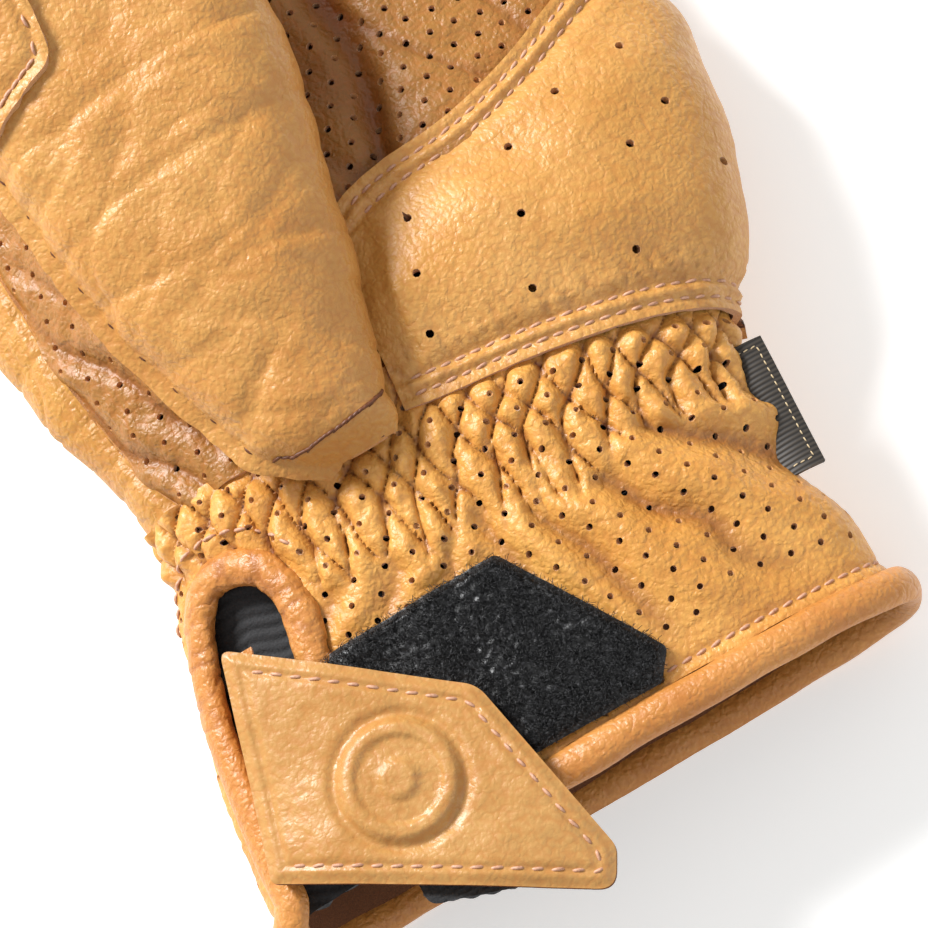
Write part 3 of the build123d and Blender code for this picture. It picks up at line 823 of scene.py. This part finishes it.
def heel_lift(s, y):
    low, top, left = away(s, y, heel_low), away(s, y, heel_top), away(s, y, heel_left)
    ends = np.minimum(low, top)
    edge = np.minimum(ends, left)
    plump = 2.6 * smooth((ends - 4.0) / 13) * smooth((left + 2) / 8) + 0.8 * smooth((edge - 4.2) / 2.5)
    rows = 0
    for d in HEEL_ROWS:
        rows = rows + np.exp(-((ends - d) / 0.6) ** 2)
    rope = 0.35 * np.exp(-((ends - 2.85) / 0.8) ** 2)
    pucker = 0.16 * np.cos(2 * pi * (s + 0.3 * y) / 4.5) * np.exp(-((ends - 3) / 2.0) ** 2)
    pull = 0.45 * heel_creases(s, y) * smooth((low - 3.5) / 3)
    soft = 0.35 * waves(s, y, 17, 51) * smooth(edge / 10) + 0.05 * waves(s, y, 2.6, 53)
    seam_in = -1.6 * (1 - smooth((seam(y, 1) - s) / 3.0))
    rise = 1.5 + 1.0 * smooth((62 - y) / 14) * smooth((10 - s) / -16)
    return rise + plump + rope - 0.45 * rows + pucker - pull + soft + seam_in


s, y = patch(heel_low, heel_top, heel_left, heel_right, 0.6)
drop = np.zeros(s.shape, bool)
punch(s, y, HEEL_HOLES, 0.62, drop)
# painted shade in the short creases that rise from the lower stitches
heel_painted_shade = 0.35 * heel_creases(s, y)
heel_pad = make_sheet("heel_pad_leather", skin(s, y, heel_lift(s, y)), heel_leather, thick=1.3, drop=drop,
                      painted_shade=heel_painted_shade)
settle(heel_pad, "wrist", "perforated_leather", "heel_pad", "heel_foam")


for k, d in enumerate(HEEL_ROWS):
    for edge_name, edge, d_side in (("lower", heel_low, d), ("upper", heel_top, -d)):
        row = inset(edge, d_side)[4:-3]
        row_piece = stitches(f"heel_{edge_name}_stitches_{k + 1}", row, skin, heel_lift)
        settle(row_piece, "wrist", "tan_leather")


# Palm insert --------------------------------------------------------------------------------------
# Punched goat leather in the hollow of the palm, from under the heel pad to the finger roots. It is
# turned down into the gaps between the fingers.
# Darker than the other leathers: the shade under and beside the thumb is painted into its tan. The thumb side
# strip is cut from it too.
palm_shaded_leather = leather("goat_leather_palm_painted_shade", "#9d6c2f", "#906125")
PALM_END = [(-48, 140), (-43, 144), (-33, 148.5), (-21, 150.5), (-8.5, 151.5), (4, 151), (16, 149.5),
            (28, 146), (39, 141.5), (52, 134)]
palm_top = on_skin(PALM_END)
palm_top[0, 0] = seam(140, -1) + 4
palm_top[-1, 0] = seam(134, 1)
palm_top = through(palm_top, 150)
palm_left_y = np.linspace(60, 140, 80)
palm_left = np.stack([np.interp(palm_left_y, [60, 140], [-12, palm_top[0, 0]]), palm_left_y], axis=1)
palm_right_y = np.linspace(60, 134, 80)
palm_right = np.stack([seam(palm_right_y, 1), palm_right_y], axis=1)
palm_bottom = np.stack([np.linspace(-12, palm_right[0, 0], 60), np.full(60, 60.0)], axis=1)


def palm_valley(s, y):
    """The insert dips down beside the thumb, and shade is painted along it."""
    middle = np.interp(y, [70, 100, 130], [7.5, 17.5, 19])
    return np.exp(-((s - middle + 0.8 * waves(s, y, 20, 65)) / 2.6) ** 2)


def palm_lines(s, y):
    return creases(s * 0.8 + y * 0.5, y * 0.3, 16, 64)


def palm_lift(s, y):
    end = away(s, y, palm_top)
    seam_in = -1.8 * (1 - smooth((seam(y, 1) - s) / 2.6))
    close = -4.5 * (1 - smooth(end / 7)) ** 1.5 - 2.6 * palm_valley(s, y)
    soft = 0.8 * waves(s, y, 26, 61) + 0.25 * waves(s, y, 8, 62) + 0.06 * waves(s, y, 2.4, 63)
    lines = 0.5 * palm_lines(s, y)
    return seam_in + close + soft * smooth(end / 12) - lines


s, y = patch(palm_bottom, palm_top, palm_left, palm_right, 0.75)
drop = np.zeros(s.shape, bool)
punch(s, y, hole_grid(-44, 60, 66, 144, 3.95, 3.2, -0.07), 0.54, drop)
# painted shade: the valley beside the thumb, where the thumb's shadow falls, and the long creases
palm = make_sheet("palm_insert_leather", skin(s, y, palm_lift(s, y)), palm_shaded_leather, drop=drop,
                  painted_shade=0.3 * palm_lines(s, y) + 0.55 * palm_valley(s, y))
settle(palm, "wrist", "perforated_leather", "palm_panel")


# Thumb side ---------------------------------------------------------------------------------------
# A punched strip runs from the wrist up under the thumb, in long folds, and a smooth outer panel
# covers the side of the hand beyond it. The outer panel's edge is turned under and sewn to the strip.
outer_leather = leather("goat_leather_side", "#bc893f", "#b07a33")
SIDE_EDGE = [(-36.2, 60.5), (-38.3, 66.6), (-40.5, 74.8), (-41.9, 84.3), (-42.6, 94), (-43, 120), (-42, 146)]
STRIP_EDGE = [(-3, 56), (-12, 64), (-20, 78), (-25, 96), (-27, 118), (-28, 146)]
side_edge, strip_edge = through(on_skin(SIDE_EDGE), 140), through(STRIP_EDGE, 140)


def strip_rise(y):
    """How high the strip climbs under the thumb's edge."""
    return np.interp(y, [56, 64, 74, 86, 98, 112, 130], [2.0, 4.2, 7.0, 9.0, 8.0, 3.5, 0])


def strip_roll(s, y):
    """The long rolls of the strip: 1 on a crest, 0 in a valley, where shade is painted. They fade up the
    hand.
    """
    c = (s * 0.80 + y * 0.42 + 1.2 * waves(s, y, 17, 71)) / 6.4
    return (0.5 - 0.5 * np.cos(2 * pi * c)) ** 0.6, smooth((118 - y) / 40)


def strip_lift(s, y):
    near = smooth(1 - away(s, y, strip_edge) / 15)
    roll, fade = strip_roll(s, y)
    edge = away(s, y, side_edge)
    return (strip_rise(y) * near + fade * 1.6 * roll + 0.25 * waves(s, y, 4.5, 72) + 0.06 * waves(s, y, 2, 73)
            - 0.9 * (1 - smooth(edge / 2.5)) - 0.4 * creases(s * 0.9 + y * 0.5, y * 0.25, 6, 74) * near)


bottom = through([side_edge[0], (-20, 59.5), strip_edge[0]], 60)
top = np.stack([np.linspace(side_edge[-1, 0], strip_edge[-1, 0], 30), np.full(30, 146.0)], axis=1)
s, y = patch(bottom, top, side_edge, strip_edge, 0.6)
drop = np.zeros(s.shape, bool)
leaning = [(hx - 0.35 * (hy - 60), hy) for hx, hy in hole_grid(-46, 25, 62, 142, 4.6, 3.6)]
punch(s, y, leaning, HOLE_RADIUS, drop)
roll, fade = strip_roll(s, y)
# painted shade in the valleys of the long rolls, fading up the hand
dark = 0.45 * fade * np.clip(1 - 2.2 * roll, 0, 1)
strip = make_sheet("thumb_side_strip_leather", skin(s, y, strip_lift(s, y)), palm_shaded_leather, drop=drop,
                   painted_shade=dark)
settle(strip, "wrist", "perforated_leather", "thumb_side_strip")


def outer_lift(s, y):
    edge, low = away(s, y, side_edge), y - 57.5
    return (0.5 + 0.6 * smooth(edge / 6) - 0.7 * (1 - smooth(edge / 1.4)) + 0.4 * waves(s, y, 15, 76)
            - 2.2 * (1 - smooth((s - seam(y, -1)) / 3)) - 1.2 * (1 - smooth(low / 4))
            - 0.3 * creases(s, y, 11, 77))


outer_y = np.linspace(57.5, 146, 150)[:, None]
edge_s = np.interp(outer_y, side_edge[:, 1], side_edge[:, 0]) + 0.3
s = seam(outer_y, -1) + (edge_s - seam(outer_y, -1)) * np.linspace(0, 1, 40)[None]
y = outer_y + 0 * s
outer_side = make_sheet("outer_side_leather", skin(s, y, outer_lift(s, y)), outer_leather)
settle(outer_side, "wrist", "tan_leather")


# Thumb --------------------------------------------------------------------------------------------
# The thumb's front is one plump piece of smooth leather with a raw cut edge on its outer side, sewn
# down with dark thread. Its under side is punched. It lies over the palm and points to the fingers.
thumb_leather = leather("goat_leather_thumb", "#c6924d", "#bb833f", grain=0.85)
THUMB = np.array([
    # along, outer side, palm side, top, underside
    (52.0, -11.5, -5.0, 33.4, 33.0),
    (53.2, -14.5, -4.2, 35.2, 32.2),
    (55.0, -18.0, -3.4, 37.6, 31.2),
    (58.5, -22.3, -2.4, 39.8, 29.5),
    (64.0, -25.4, -0.8, 41.8, 28.0),
    (72.0, -28.2, 1.4, 44.5, 27.5),
    (82.0, -31.0, 4.0, 47.5, 28.0),
    (94.0, -32.4, 7.2, 51.0, 30.0),
    (110.0, -33.4, 10.2, 54.5, 33.0),
    (129.0, -32.5, 9.5, 57.5, 35.5),
    (145.0, -30.5, 7.5, 60.0, 39.0),
    (156.0, -28.0, 5.0, 61.0, 43.0),
])
THUMB_TIP = 166.5
THUMB_DOME = 15.0


def thumb_size(t):
    t = np.asarray(t, float)
    rows = [np.interp(t, THUMB[:, 0], THUMB[:, k]) for k in range(1, 5)]
    grid = np.arange(40, 175, 0.5)
    for k in range(4):
        fine = np.interp(grid, THUMB[:, 0], THUMB[:, k + 1])
        soft = np.convolve(np.pad(fine, 4, "edge"), np.hanning(9) / np.hanning(9).sum(), "valid")
        rows[k] = np.interp(t, grid, soft)
    left, right, top, under = rows
    dome = np.sqrt(np.clip(1 - (np.clip(t - (THUMB_TIP - THUMB_DOME), 0, None) / THUMB_DOME) ** 2, 0, 1))
    return (left + right) / 2, (right - left) / 2 * dome, (top + under) / 2, (top - under) / 2 * dome


def thumb_skin(angle, t, lift=0.0):
    """Points on the thumb: angle round it in degrees, 0 on the palm side and 90 on top."""
    angle, t = np.broadcast_arrays(np.asarray(angle, float), np.asarray(t, float))
    middle, half, level, high = thumb_size(t)
    c, q = np.cos(np.radians(angle)), np.sin(np.radians(angle))
    power = 2 / 2.3
    x = middle + (half + lift * np.minimum(half / 6, 1)) * np.sign(c) * np.abs(c) ** power
    z = level + (high + lift * np.minimum(high / 6, 1)) * np.sign(q) * np.abs(q) ** power
    tip = np.clip((t - 158) / 8, 0, 1) * lift
    return np.stack([x, t + tip, z], axis=-1)


def thumb_front_lift(angle, t):
    """The front panel's height off the thumb's form: slow swells, with creases across and along it."""
    x, z = thumb_skin(angle, t)[..., 0], thumb_skin(angle, t)[..., 2]
    soft = 0.7 * waves(x, t, 30, 81) + 0.22 * waves(x, t, 9, 82) + 0.05 * waves(x, t, 2.2, 83)
    lines = 0.3 * creases(x, t, 14, 84) + 0.35 * creases(x * 0.5, t * 1.4, 22, 85)
    return 0.6 + soft - lines


def tube_piece(name, surface, lift, a0, a1, t0, t1, cell, material, pitch=None, thick=1.2, tip=False):
    """A panel of a thumb or finger, between two angles round it and two distances along it."""
    rows = int((t1 - t0) / cell) + 1
    ts = np.linspace(t0, t1, rows)
    if tip:
        ts = t1 - (t1 - t0) * (1 - np.sin(np.linspace(0, pi / 2, rows)) ** 1.0)
    girth = np.linalg.norm(np.diff(surface(np.linspace(a0, a1, 60), (t0 + t1) / 2), axis=0), axis=1).sum()
    cols = int(girth / cell) + 1
    angle = np.linspace(a0, a1, cols)[None] + 0 * ts[:, None]
    t = ts[:, None] + 0 * angle
    drop = np.zeros(angle.shape, bool)
    if pitch:
        scale = (a1 - a0) / girth
        s = (angle - a0) / scale
        centres = hole_grid(4, girth - 4, t0 + 5, t1 - (14 if tip else 4), pitch, 0.8 * pitch)
        punch(s, t, centres, HOLE_RADIUS, drop)
        angle = s * scale + a0
    points = surface(angle, t, lift(angle, t))
    return make_sheet(name, points[:, ::-1], material, thick=thick, drop=drop[:, ::-1])


THUMB_CUT = 110.0
RAW_EDGE = 162.0         # the angle at which the front panel leaves the thumb as a flat raw edge
RAW_WIDE = 2.6


def thumb_front(angle, t, lift=0.0):
    """The front panel: past the raw edge's angle, 10 degrees are a flat rim that stands out sideways."""
    angle, t = np.broadcast_arrays(np.asarray(angle, float), np.asarray(t, float))
    out = np.clip((angle - RAW_EDGE) / 10, 0, 1)
    sewn_in = 0.9 * np.sin(pi * np.clip(out * 1.4, 0, 1)) ** 2
    points = thumb_skin(np.minimum(angle, RAW_EDGE), t, lift - sewn_in)
    slope = np.clip((166 - t) / 30, 0, 1) * RAW_WIDE * out
    return points + np.stack([-slope, -0.35 * slope * (t < 62), -0.5 * slope], axis=-1)


parts = [("base", 52.0, THUMB_CUT + 1.5), ("end", THUMB_CUT, THUMB_TIP)]


def follow_thumb(piece, which):
    if which == "base":
        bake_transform(piece)
    else:
        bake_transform(piece)


replaced = {"base": ["thenar_panel", "thumb_front"], "end": ["thumb_tip_front"]}
replaced_under = {"base": ["thumb_back", "thumb_sides"], "end": ["thumb_tip_back", "thumb_tip_sides"]}
for which, t0, t1 in parts:
    top_piece = tube_piece(f"thumb_front_{which}", thumb_front, thumb_front_lift, -32, RAW_EDGE + 10,
                           t0, t1, 0.7, thumb_leather, thick=1.3, tip=which == "end")
    follow_thumb(top_piece, which)
    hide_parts(*replaced[which])
    under = tube_piece(f"thumb_under_{which}", thumb_skin, lambda a, t: -1.0 + 0.2 * waves(a * 0.3, t, 7, 86),
                       RAW_EDGE - 12, 332, t0, t1, 0.9, punched_leather, pitch=5.2, tip=which == "end")
    follow_thumb(under, which)
    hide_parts(*replaced_under[which])

# the dark stitches along the raw edge, and the light ones of the rounded second layer near the tip
dark_thread = recoloured(thread, "bonded_thread_dark", "#3c1d0c", "#7a4420")
for which, t0, t1 in parts:
    ts = np.linspace(max(t0, 57), min(t1, 156), 80)
    row = np.stack([np.full(80, RAW_EDGE + 3.5), ts], axis=1)
    if which == "base":
        row = np.vstack([[(20, 57.2), (50, 56.2), (90, 55.4), (125, 55.2), (150, 55.6)], row])
    edge_row = stitches(f"thumb_edge_stitches_{which}", row, thumb_front, thumb_front_lift,
                        material=dark_thread)
    follow_thumb(edge_row, which)


def radial(outline, middle, rings):
    """Rings of points that grow from the middle of an outline out to it, and how far out each is, 0 to 1."""
    shells = np.linspace(0, 1, rings)[:, None, None]
    grid = middle + (outline - middle)[None] * shells
    return grid[..., 0], grid[..., 1], shells[..., 0] + 0 * grid[..., 0]


grip_outline = rounded([(170, 111.3), (138, 112.0), (104, 116.5), (100, 135), (106, 151), (170, 151)],
                       [2.0, 9.0, 8.0, 4.0, 4.0, 2.0], 220)
grip_middle = np.array([138.0, 131.0])
GRIP_REACH = 20.0         # about how far the outline is from the middle
GRIP_ROW = 2.3            # and its stitches from the outline
a, t, out = radial(grip_outline, grip_middle, 34)
edge = (1 - out) * GRIP_REACH
lift = thumb_front_lift(a, t) + 1.25 - 0.5 * np.exp(-((edge - GRIP_ROW) / 0.8) ** 2)
lift = lift + 0.3 * smooth((edge - 3) / 6)
points = thumb_front(a, t, lift)[::-1]
grip = make_sheet("thumb_grip_leather", points, thumb_leather, thick=1.2, closed=True)
follow_thumb(grip, "end")
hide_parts("thumb_grip")
row = grip_middle + (grip_outline - grip_middle) * (1 - GRIP_ROW / GRIP_REACH)
grip_row = stitches("thumb_grip_stitches", row, thumb_front, lambda a, t: thumb_front_lift(a, t) + 0.9)
follow_thumb(grip_row, "end")


# Fingers ------------------------------------------------------------------------------------------
# Each finger is sewn from a front, a back and two side strips, with the seams turned in. It curls a
# little at rest, with soft creases over its joints.
FINGERS = {"index": (-4.0, 31.0, 23.0, 19.0), "middle": (-1.0, 34.0, 23.5, 19.4),
           "ring": (2.5, 32.0, 22.5, 18.8), "little": (7.0, 26.0, 20.5, 17.6)}
FINGER_DOME = 10.0
PANELS = [("front", 28, 152, tan_leather, None), ("back", 208, 332, punched_leather, 6.0),
          ("side_a", 151, 209, tan_leather, None), ("side_b", -29, 29, tan_leather, None)]


def finger_surface(name):
    """The skin of one finger: angle round it in degrees, and distance along it from its root."""
    splay, last, width, high = FINGERS[name]
    root, middle = joint_place(f"{name}_bend"), joint_place(f"{name}_knuckle")
    first = np.linalg.norm(middle - root)
    total = first + last + FINGER_DOME
    steps = np.arange(-16, total + 1, 0.5)
    curl = np.radians(6 + 8 * smooth((steps - first + 8) / 16))
    flat = np.concatenate([[0], np.cumsum(np.cos(curl[:-1]) * 0.5)])
    rise = np.concatenate([[0], np.cumsum(np.sin(curl[:-1]) * 0.5)])
    flat = flat - np.interp(0, steps, flat)
    rise = rise - np.interp(0, steps, rise)

    def surface(angle, t, lift=0.0):
        angle, t = np.broadcast_arrays(np.asarray(angle, float), np.asarray(t, float))
        dome = np.clip((t - (total - 13)) / 13, 0, 1)
        taper = (1 - 0.14 * np.clip(t / total, 0, 1)) * np.sqrt(np.clip(1 - dome ** 2, 0, 1))
        waist = 1 - 0.035 * np.exp(-((t - first) / 5) ** 2)
        c, q = np.cos(np.radians(angle)), np.sin(np.radians(angle))
        grow = lift * np.clip(np.sqrt(np.clip(1 - dome ** 2, 0, 1)) * 2, 0, 1)
        x = (width / 2 * taper * waist + grow) * np.sign(c) * np.abs(c) ** (2 / 2.25)
        h = (high / 2 * taper * waist + grow) * np.sign(q) * np.abs(q) ** (2 / 2.25)
        tilt = np.interp(t, steps, curl)
        run = np.interp(t, steps, flat) - h * np.sin(tilt) + dome * np.clip(lift, -2, 2) * 0.6
        z = root[2] + np.interp(t, steps, rise) + h * np.cos(tilt)
        w = radians(splay)
        across_hand = root[0] + run * sin(w) + x * cos(w)
        return np.stack([across_hand, root[1] + run * cos(w) - x * sin(w), z], axis=-1)

    return surface, first, total


for finger, (splay, last, width, high) in FINGERS.items():
    surface, first, total = finger_surface(finger)
    cut = 0.55 * first
    seed = 90 + len(finger) * 3
    for part, a0, a1, material, pitch in PANELS:
        def lift(angle, t, a0=a0, a1=a1, seed=seed, part=part):
            edge = np.minimum(angle - a0, a1 - angle) * width / 2 * pi / 180
            crease = np.exp(-((t - first) / 1.3) ** 2) + 0.7 * np.exp(-((t - first - 4.5) / 1.1) ** 2)
            crease = crease + 0.8 * np.exp(-((t - 3) / 1.5) ** 2)
            inner = 1.0 if part == "front" else 0.35
            return (0.35 - 1.2 * (1 - smooth(edge / 1.7)) - 0.7 * inner * crease
                    + 0.3 * waves(angle * 0.2, t, 11, seed) + 0.1 * waves(angle * 0.2, t, 4, seed + 1)
                    - 0.3 * creases(angle * 0.2, t, 10, seed + 2))
        for which, t0, t1 in (("", -12.0 if part != "side_b" else -10.0, cut + 0.3), ("_tip", cut, total)):
            piece = tube_piece(f"{finger}{which}_{part}_leather", surface, lift, a0, a1, t0, t1, 0.95,
                               material, pitch=pitch, tip=which == "_tip")
            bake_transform(piece)
            node = f"{finger}{which}_" + ("sides" if part.startswith("side") else part)
            if part != "side_b":
                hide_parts(node)


# Loop patch ---------------------------------------------------------------------------------------
# The soft half of the fastener: a black knitted patch with a dense pile of fine brushed loops, sewn
# on the cuff. Grey flecks painted into its black are highlights on its shiny filaments.
pile, tree, shader = new_material("brushed_nylon_pile")
where = add_node(tree, "ShaderNodeTexCoord").outputs["Object"]
strands = add_node(tree, "ShaderNodeTexNoise", [("Vector", where)], Scale=2.4 / MM, Detail=3.0)
# painted highlights: the brightest flecks of the noise turn the black grey
painted_glint = add_node(tree, "ShaderNodeMapRange", [("Value", strands.outputs["Fac"])],
                 From_Min=0.52, From_Max=0.75, To_Min=0.0, To_Max=1.0)
grey = add_node(tree, "ShaderNodeMixRGB", [("Fac", painted_glint.outputs["Result"])],
                Color1=hex_colour("#020203"), Color2=hex_colour("#4a4a4d"))
tree.links.new(grey.outputs["Color"], shader.inputs["Base Color"])
shader.inputs["Roughness"].default_value = 0.45

patch_middle = np.array([-10.0, 16.5])


def patch_lift(s, y):
    return cuff_lift(s, y) + 1.6


s, y, out = radial(rounded(LOOP_PATCH, 1.2, 260), patch_middle, 40)
edge = (1 - out) * 12
lift = patch_lift(s, y) - 0.7 * (1 - smooth(edge / 1.0)) + 0.16 * waves(s, y, 1.3, 101)
loop_base = make_sheet("loop_patch_base", skin(s, y, lift), pile, thick=1.2, closed=True, inside=pile)
settle(loop_base, "cuff", "loop_pile", "loop_patch")

draw = np.random.default_rng(11)
count = 9000
roots = np.stack([draw.uniform(-31, 12, count), draw.uniform(3.5, 31, count)], axis=1)
roots = roots[inside(roots[:, 0], roots[:, 1], loop_outline)]
count = len(roots)
heading = draw.uniform(0, 2 * pi, count)
span = draw.uniform(0.5, 1.3, count)
tall = draw.uniform(0.35, 0.95, count)
half = 0.045
strand_points = []
for u in np.linspace(0, 1, 5):
    off = span * (u - 0.5) * 1.6
    px = roots[:, 0] + off * np.cos(heading)
    py = roots[:, 1] + off * np.sin(heading)
    rise = tall * np.sin(pi * u) - 0.1
    for k in range(3):
        angle = 2 * pi * k / 3
        side = half * cos(angle)
        strand_points.append(skin(px - side * np.sin(heading), py + side * np.cos(heading),
                                  patch_lift(px, py) + rise + half * sin(angle)))
strand_points = np.stack(strand_points, axis=1)
strand_faces = []
for ring in range(4):
    for k in range(3):
        after = (k + 1) % 3
        strand_faces.append((ring * 3 + k, ring * 3 + after, ring * 3 + 3 + after, ring * 3 + 3 + k))
strands_piece = many("loop_pile_strands", strand_points, strand_faces, pile)
settle(strands_piece, "cuff", "loop_pile")


# Strap --------------------------------------------------------------------------------------------
# The closing strap: smooth leather on suede, hooks under its free end, sewn at its root to the outer
# edge of the vent. It lies over the vent and the loop patch. Its edges are cut raw.
strap_tan = leather("goat_leather_strap", "#bd8e50", "#b38143", grain=0.5, rough=0.38)
STRAP = [(-50.4, 6.8), (-40.7, 38.4), (-12.4, 15.6), (-7.2, -13.0), (-10.2, -18.0)]
STRAP_ROW = 2.4           # how far the stitches are from the edge
ROOT_LINE = ([6.8, 38.4], [-50.4, -40.7])   # the sewn edge: its y and x
STRAP_RADII = [1.2, 1.2, 5.0, 3.0, 2.5]
STRAP_TOP = (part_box("strap_leather")[1].z / MM)
strap_outline = rounded(STRAP, STRAP_RADII, 420)
strap_middle = np.array([-27.0, 9.0])


def strap_height(x, y):
    """Height of the strap's face: it arches a little over the vent and droops at its free corner."""
    edge = away(x, y, strap_outline)
    arch = 1.3 * np.sin(pi * np.clip((x + 50) / 46, 0, 1)) ** 0.8
    droop = -1.6 * smooth((-4 - y) / 16)
    root = -1.4 * smooth((-38 - x) / 12)
    turn_down = -0.7 * (1 - smooth(edge / 2.0))
    row = -0.4 * np.exp(-((edge - STRAP_ROW) / 0.6) ** 2)
    soft = 0.45 * waves(x, y, 22, 111) + 0.10 * waves(x, y, 5, 112) + 0.03 * waves(x, y, 1.8, 113)
    ring = away_from_badge(x, y)
    badge = 0.9 * smooth((9.0 - ring) / 1.6) - 0.55 * np.exp(-((ring - 9.3) / 0.8) ** 2)
    badge = badge - 0.6 * smooth((6.6 - ring) / 1.0) + 0.65 * smooth((3.4 - ring) / 1.6)
    return STRAP_TOP + 0.3 + arch + droop + root + turn_down + row + soft + badge - 0.9


def away_from_badge(x, y):
    return np.hypot(x + 28.0, y - 9.5)


def flat_surface(x, y, z=0.0):
    x, y, z = np.broadcast_arrays(np.asarray(x, float), np.asarray(y, float), np.asarray(z, float))
    return np.stack([x, y, z], axis=-1)


x, y, out = radial(strap_outline, strap_middle, 56)
strap = make_sheet("strap_face_leather", flat_surface(x, y, strap_height(x, y)), strap_tan, thick=1.2,
                   closed=True)
lining = make_sheet("strap_lining_suede", flat_surface(x, y, strap_height(x, y) - 1.25), suede, thick=1.0,
                    closed=True)
hooks_outline = rounded([(-33, 22), (-15, 9), (-11.5, -9), (-15, -13), (-33, -7)], 2.0, 160)
hx, hy, out = radial(hooks_outline, np.array([-22.0, 3.0]), 60)
prickle = 0.35 * np.abs(np.sin(pi * hx / 0.9) * np.sin(pi * hy / 0.9))
hook_tape = make_sheet("strap_hook_tape", flat_surface(hx, hy, strap_height(hx, hy) - 2.3 - prickle), elastic,
                       thick=0.5, closed=True, inside=elastic)
for piece, slot, nodes in ((strap, "tan_leather", ["strap_leather", "strap_badge"]),
                           (lining, "suede_lining", ["strap_lining"]),
                           (hook_tape, "hook_tape", ["hook_patch"])):
    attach(piece, "strap")
    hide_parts(*nodes)
row = inset(strap_outline, -STRAP_ROW)
root_edge = np.interp(row[:, 1], *ROOT_LINE)
first = int(np.argmax(row[:, 0] < root_edge + 3.2))
row = np.roll(row, -first, axis=0)
row = row[row[:, 0] > np.interp(row[:, 1], *ROOT_LINE) + 3.2]
strap_row = stitches("strap_stitches", row, flat_surface, strap_height, step=2.7)
settle(strap_row, "strap", "tan_leather")

# the sewn tab that carries the strap's root
tab_y = np.linspace(7.5, 37.0, 50)[:, None]
edge_x = np.interp(tab_y, [6.5, 38.3], [-50.2, -40.9])
t = np.linspace(0, 1, 14)[None]
tab_x = edge_x - 1.2 * np.sin(pi * np.clip(t * 1.4, 0, 1)) + 1.6 * (1 - t) + 4.5 * smooth((t - 0.68) / 0.32)
tab_z = 20.0 + (STRAP_TOP - 22.6) * np.clip(t * 1.35, 0, 1) ** 0.9 + 0 * tab_y
tab_points = flat_surface(tab_x + 0 * tab_z, tab_y + 0 * tab_z, tab_z)
tab = make_sheet("strap_root_tab", tab_points, rolled_leather, thick=1.2)
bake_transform(tab)
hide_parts("strap_root")


# Side label ---------------------------------------------------------------------------------------
# A folded label of black woven satin with a pale line woven along its edge, caught in the side seam.
satin, tree, shader = new_material("woven_satin")
where = add_node(tree, "ShaderNodeTexCoord").outputs["Object"]
weft = add_node(tree, "ShaderNodeTexWave", [("Vector", where)], Scale=0.45 / MM, Distortion=0.4,
                bands_direction="Y")
dark_threads = add_node(tree, "ShaderNodeMixRGB", [("Fac", weft.outputs["Fac"])],
                        Color1=hex_colour("#17130f"), Color2=hex_colour("#3b342c"))
tree.links.new(dark_threads.outputs["Color"], shader.inputs["Base Color"])
weave = add_node(tree, "ShaderNodeBump", [("Height", weft.outputs["Fac"])], Strength=0.6, Distance=0.12 * MM)
tree.links.new(weave.outputs["Normal"], shader.inputs["Normal"])
shader.inputs["Roughness"].default_value = 0.55
cream = recoloured(thread, "cream_thread", "#b39a72", "#d9c7a2")

LABEL_TURN = radians(-4.4)


def label_surface(u, v, lift=0.0):
    """u out from the seam and v along it, in millimetres; the label sags a little to the table."""
    u, v, lift = np.broadcast_arrays(np.asarray(u, float), np.asarray(v, float), np.asarray(lift, float))
    x = 40.5 + u * cos(LABEL_TURN) - v * sin(LABEL_TURN)
    y = 31.2 + u * sin(LABEL_TURN) + v * cos(LABEL_TURN)
    z = 19.0 + lift + 0.9 * np.sin(u / 4.0) - 0.03 * u * u + 0.2 * np.sin(v / 3.0)
    return np.stack([x, y, z], axis=-1)


u, v = np.meshgrid(np.linspace(-1.5, 5.6, 20), np.linspace(-10.2, 10.2, 52))
label = make_sheet("woven_side_label", label_surface(u, v), satin, thick=0.8, inside=satin)
settle(label, "cuff", "woven_label", "side_label")
border = [(1.0, -9.0), (4.4, -9.0), (4.4, 9.0), (1.0, 9.0)]
label_row = stitches("label_border_stitches", border, label_surface, 0.0, step=1.1, material=cream, size=0.4)
settle(label_row, "cuff", "woven_label")
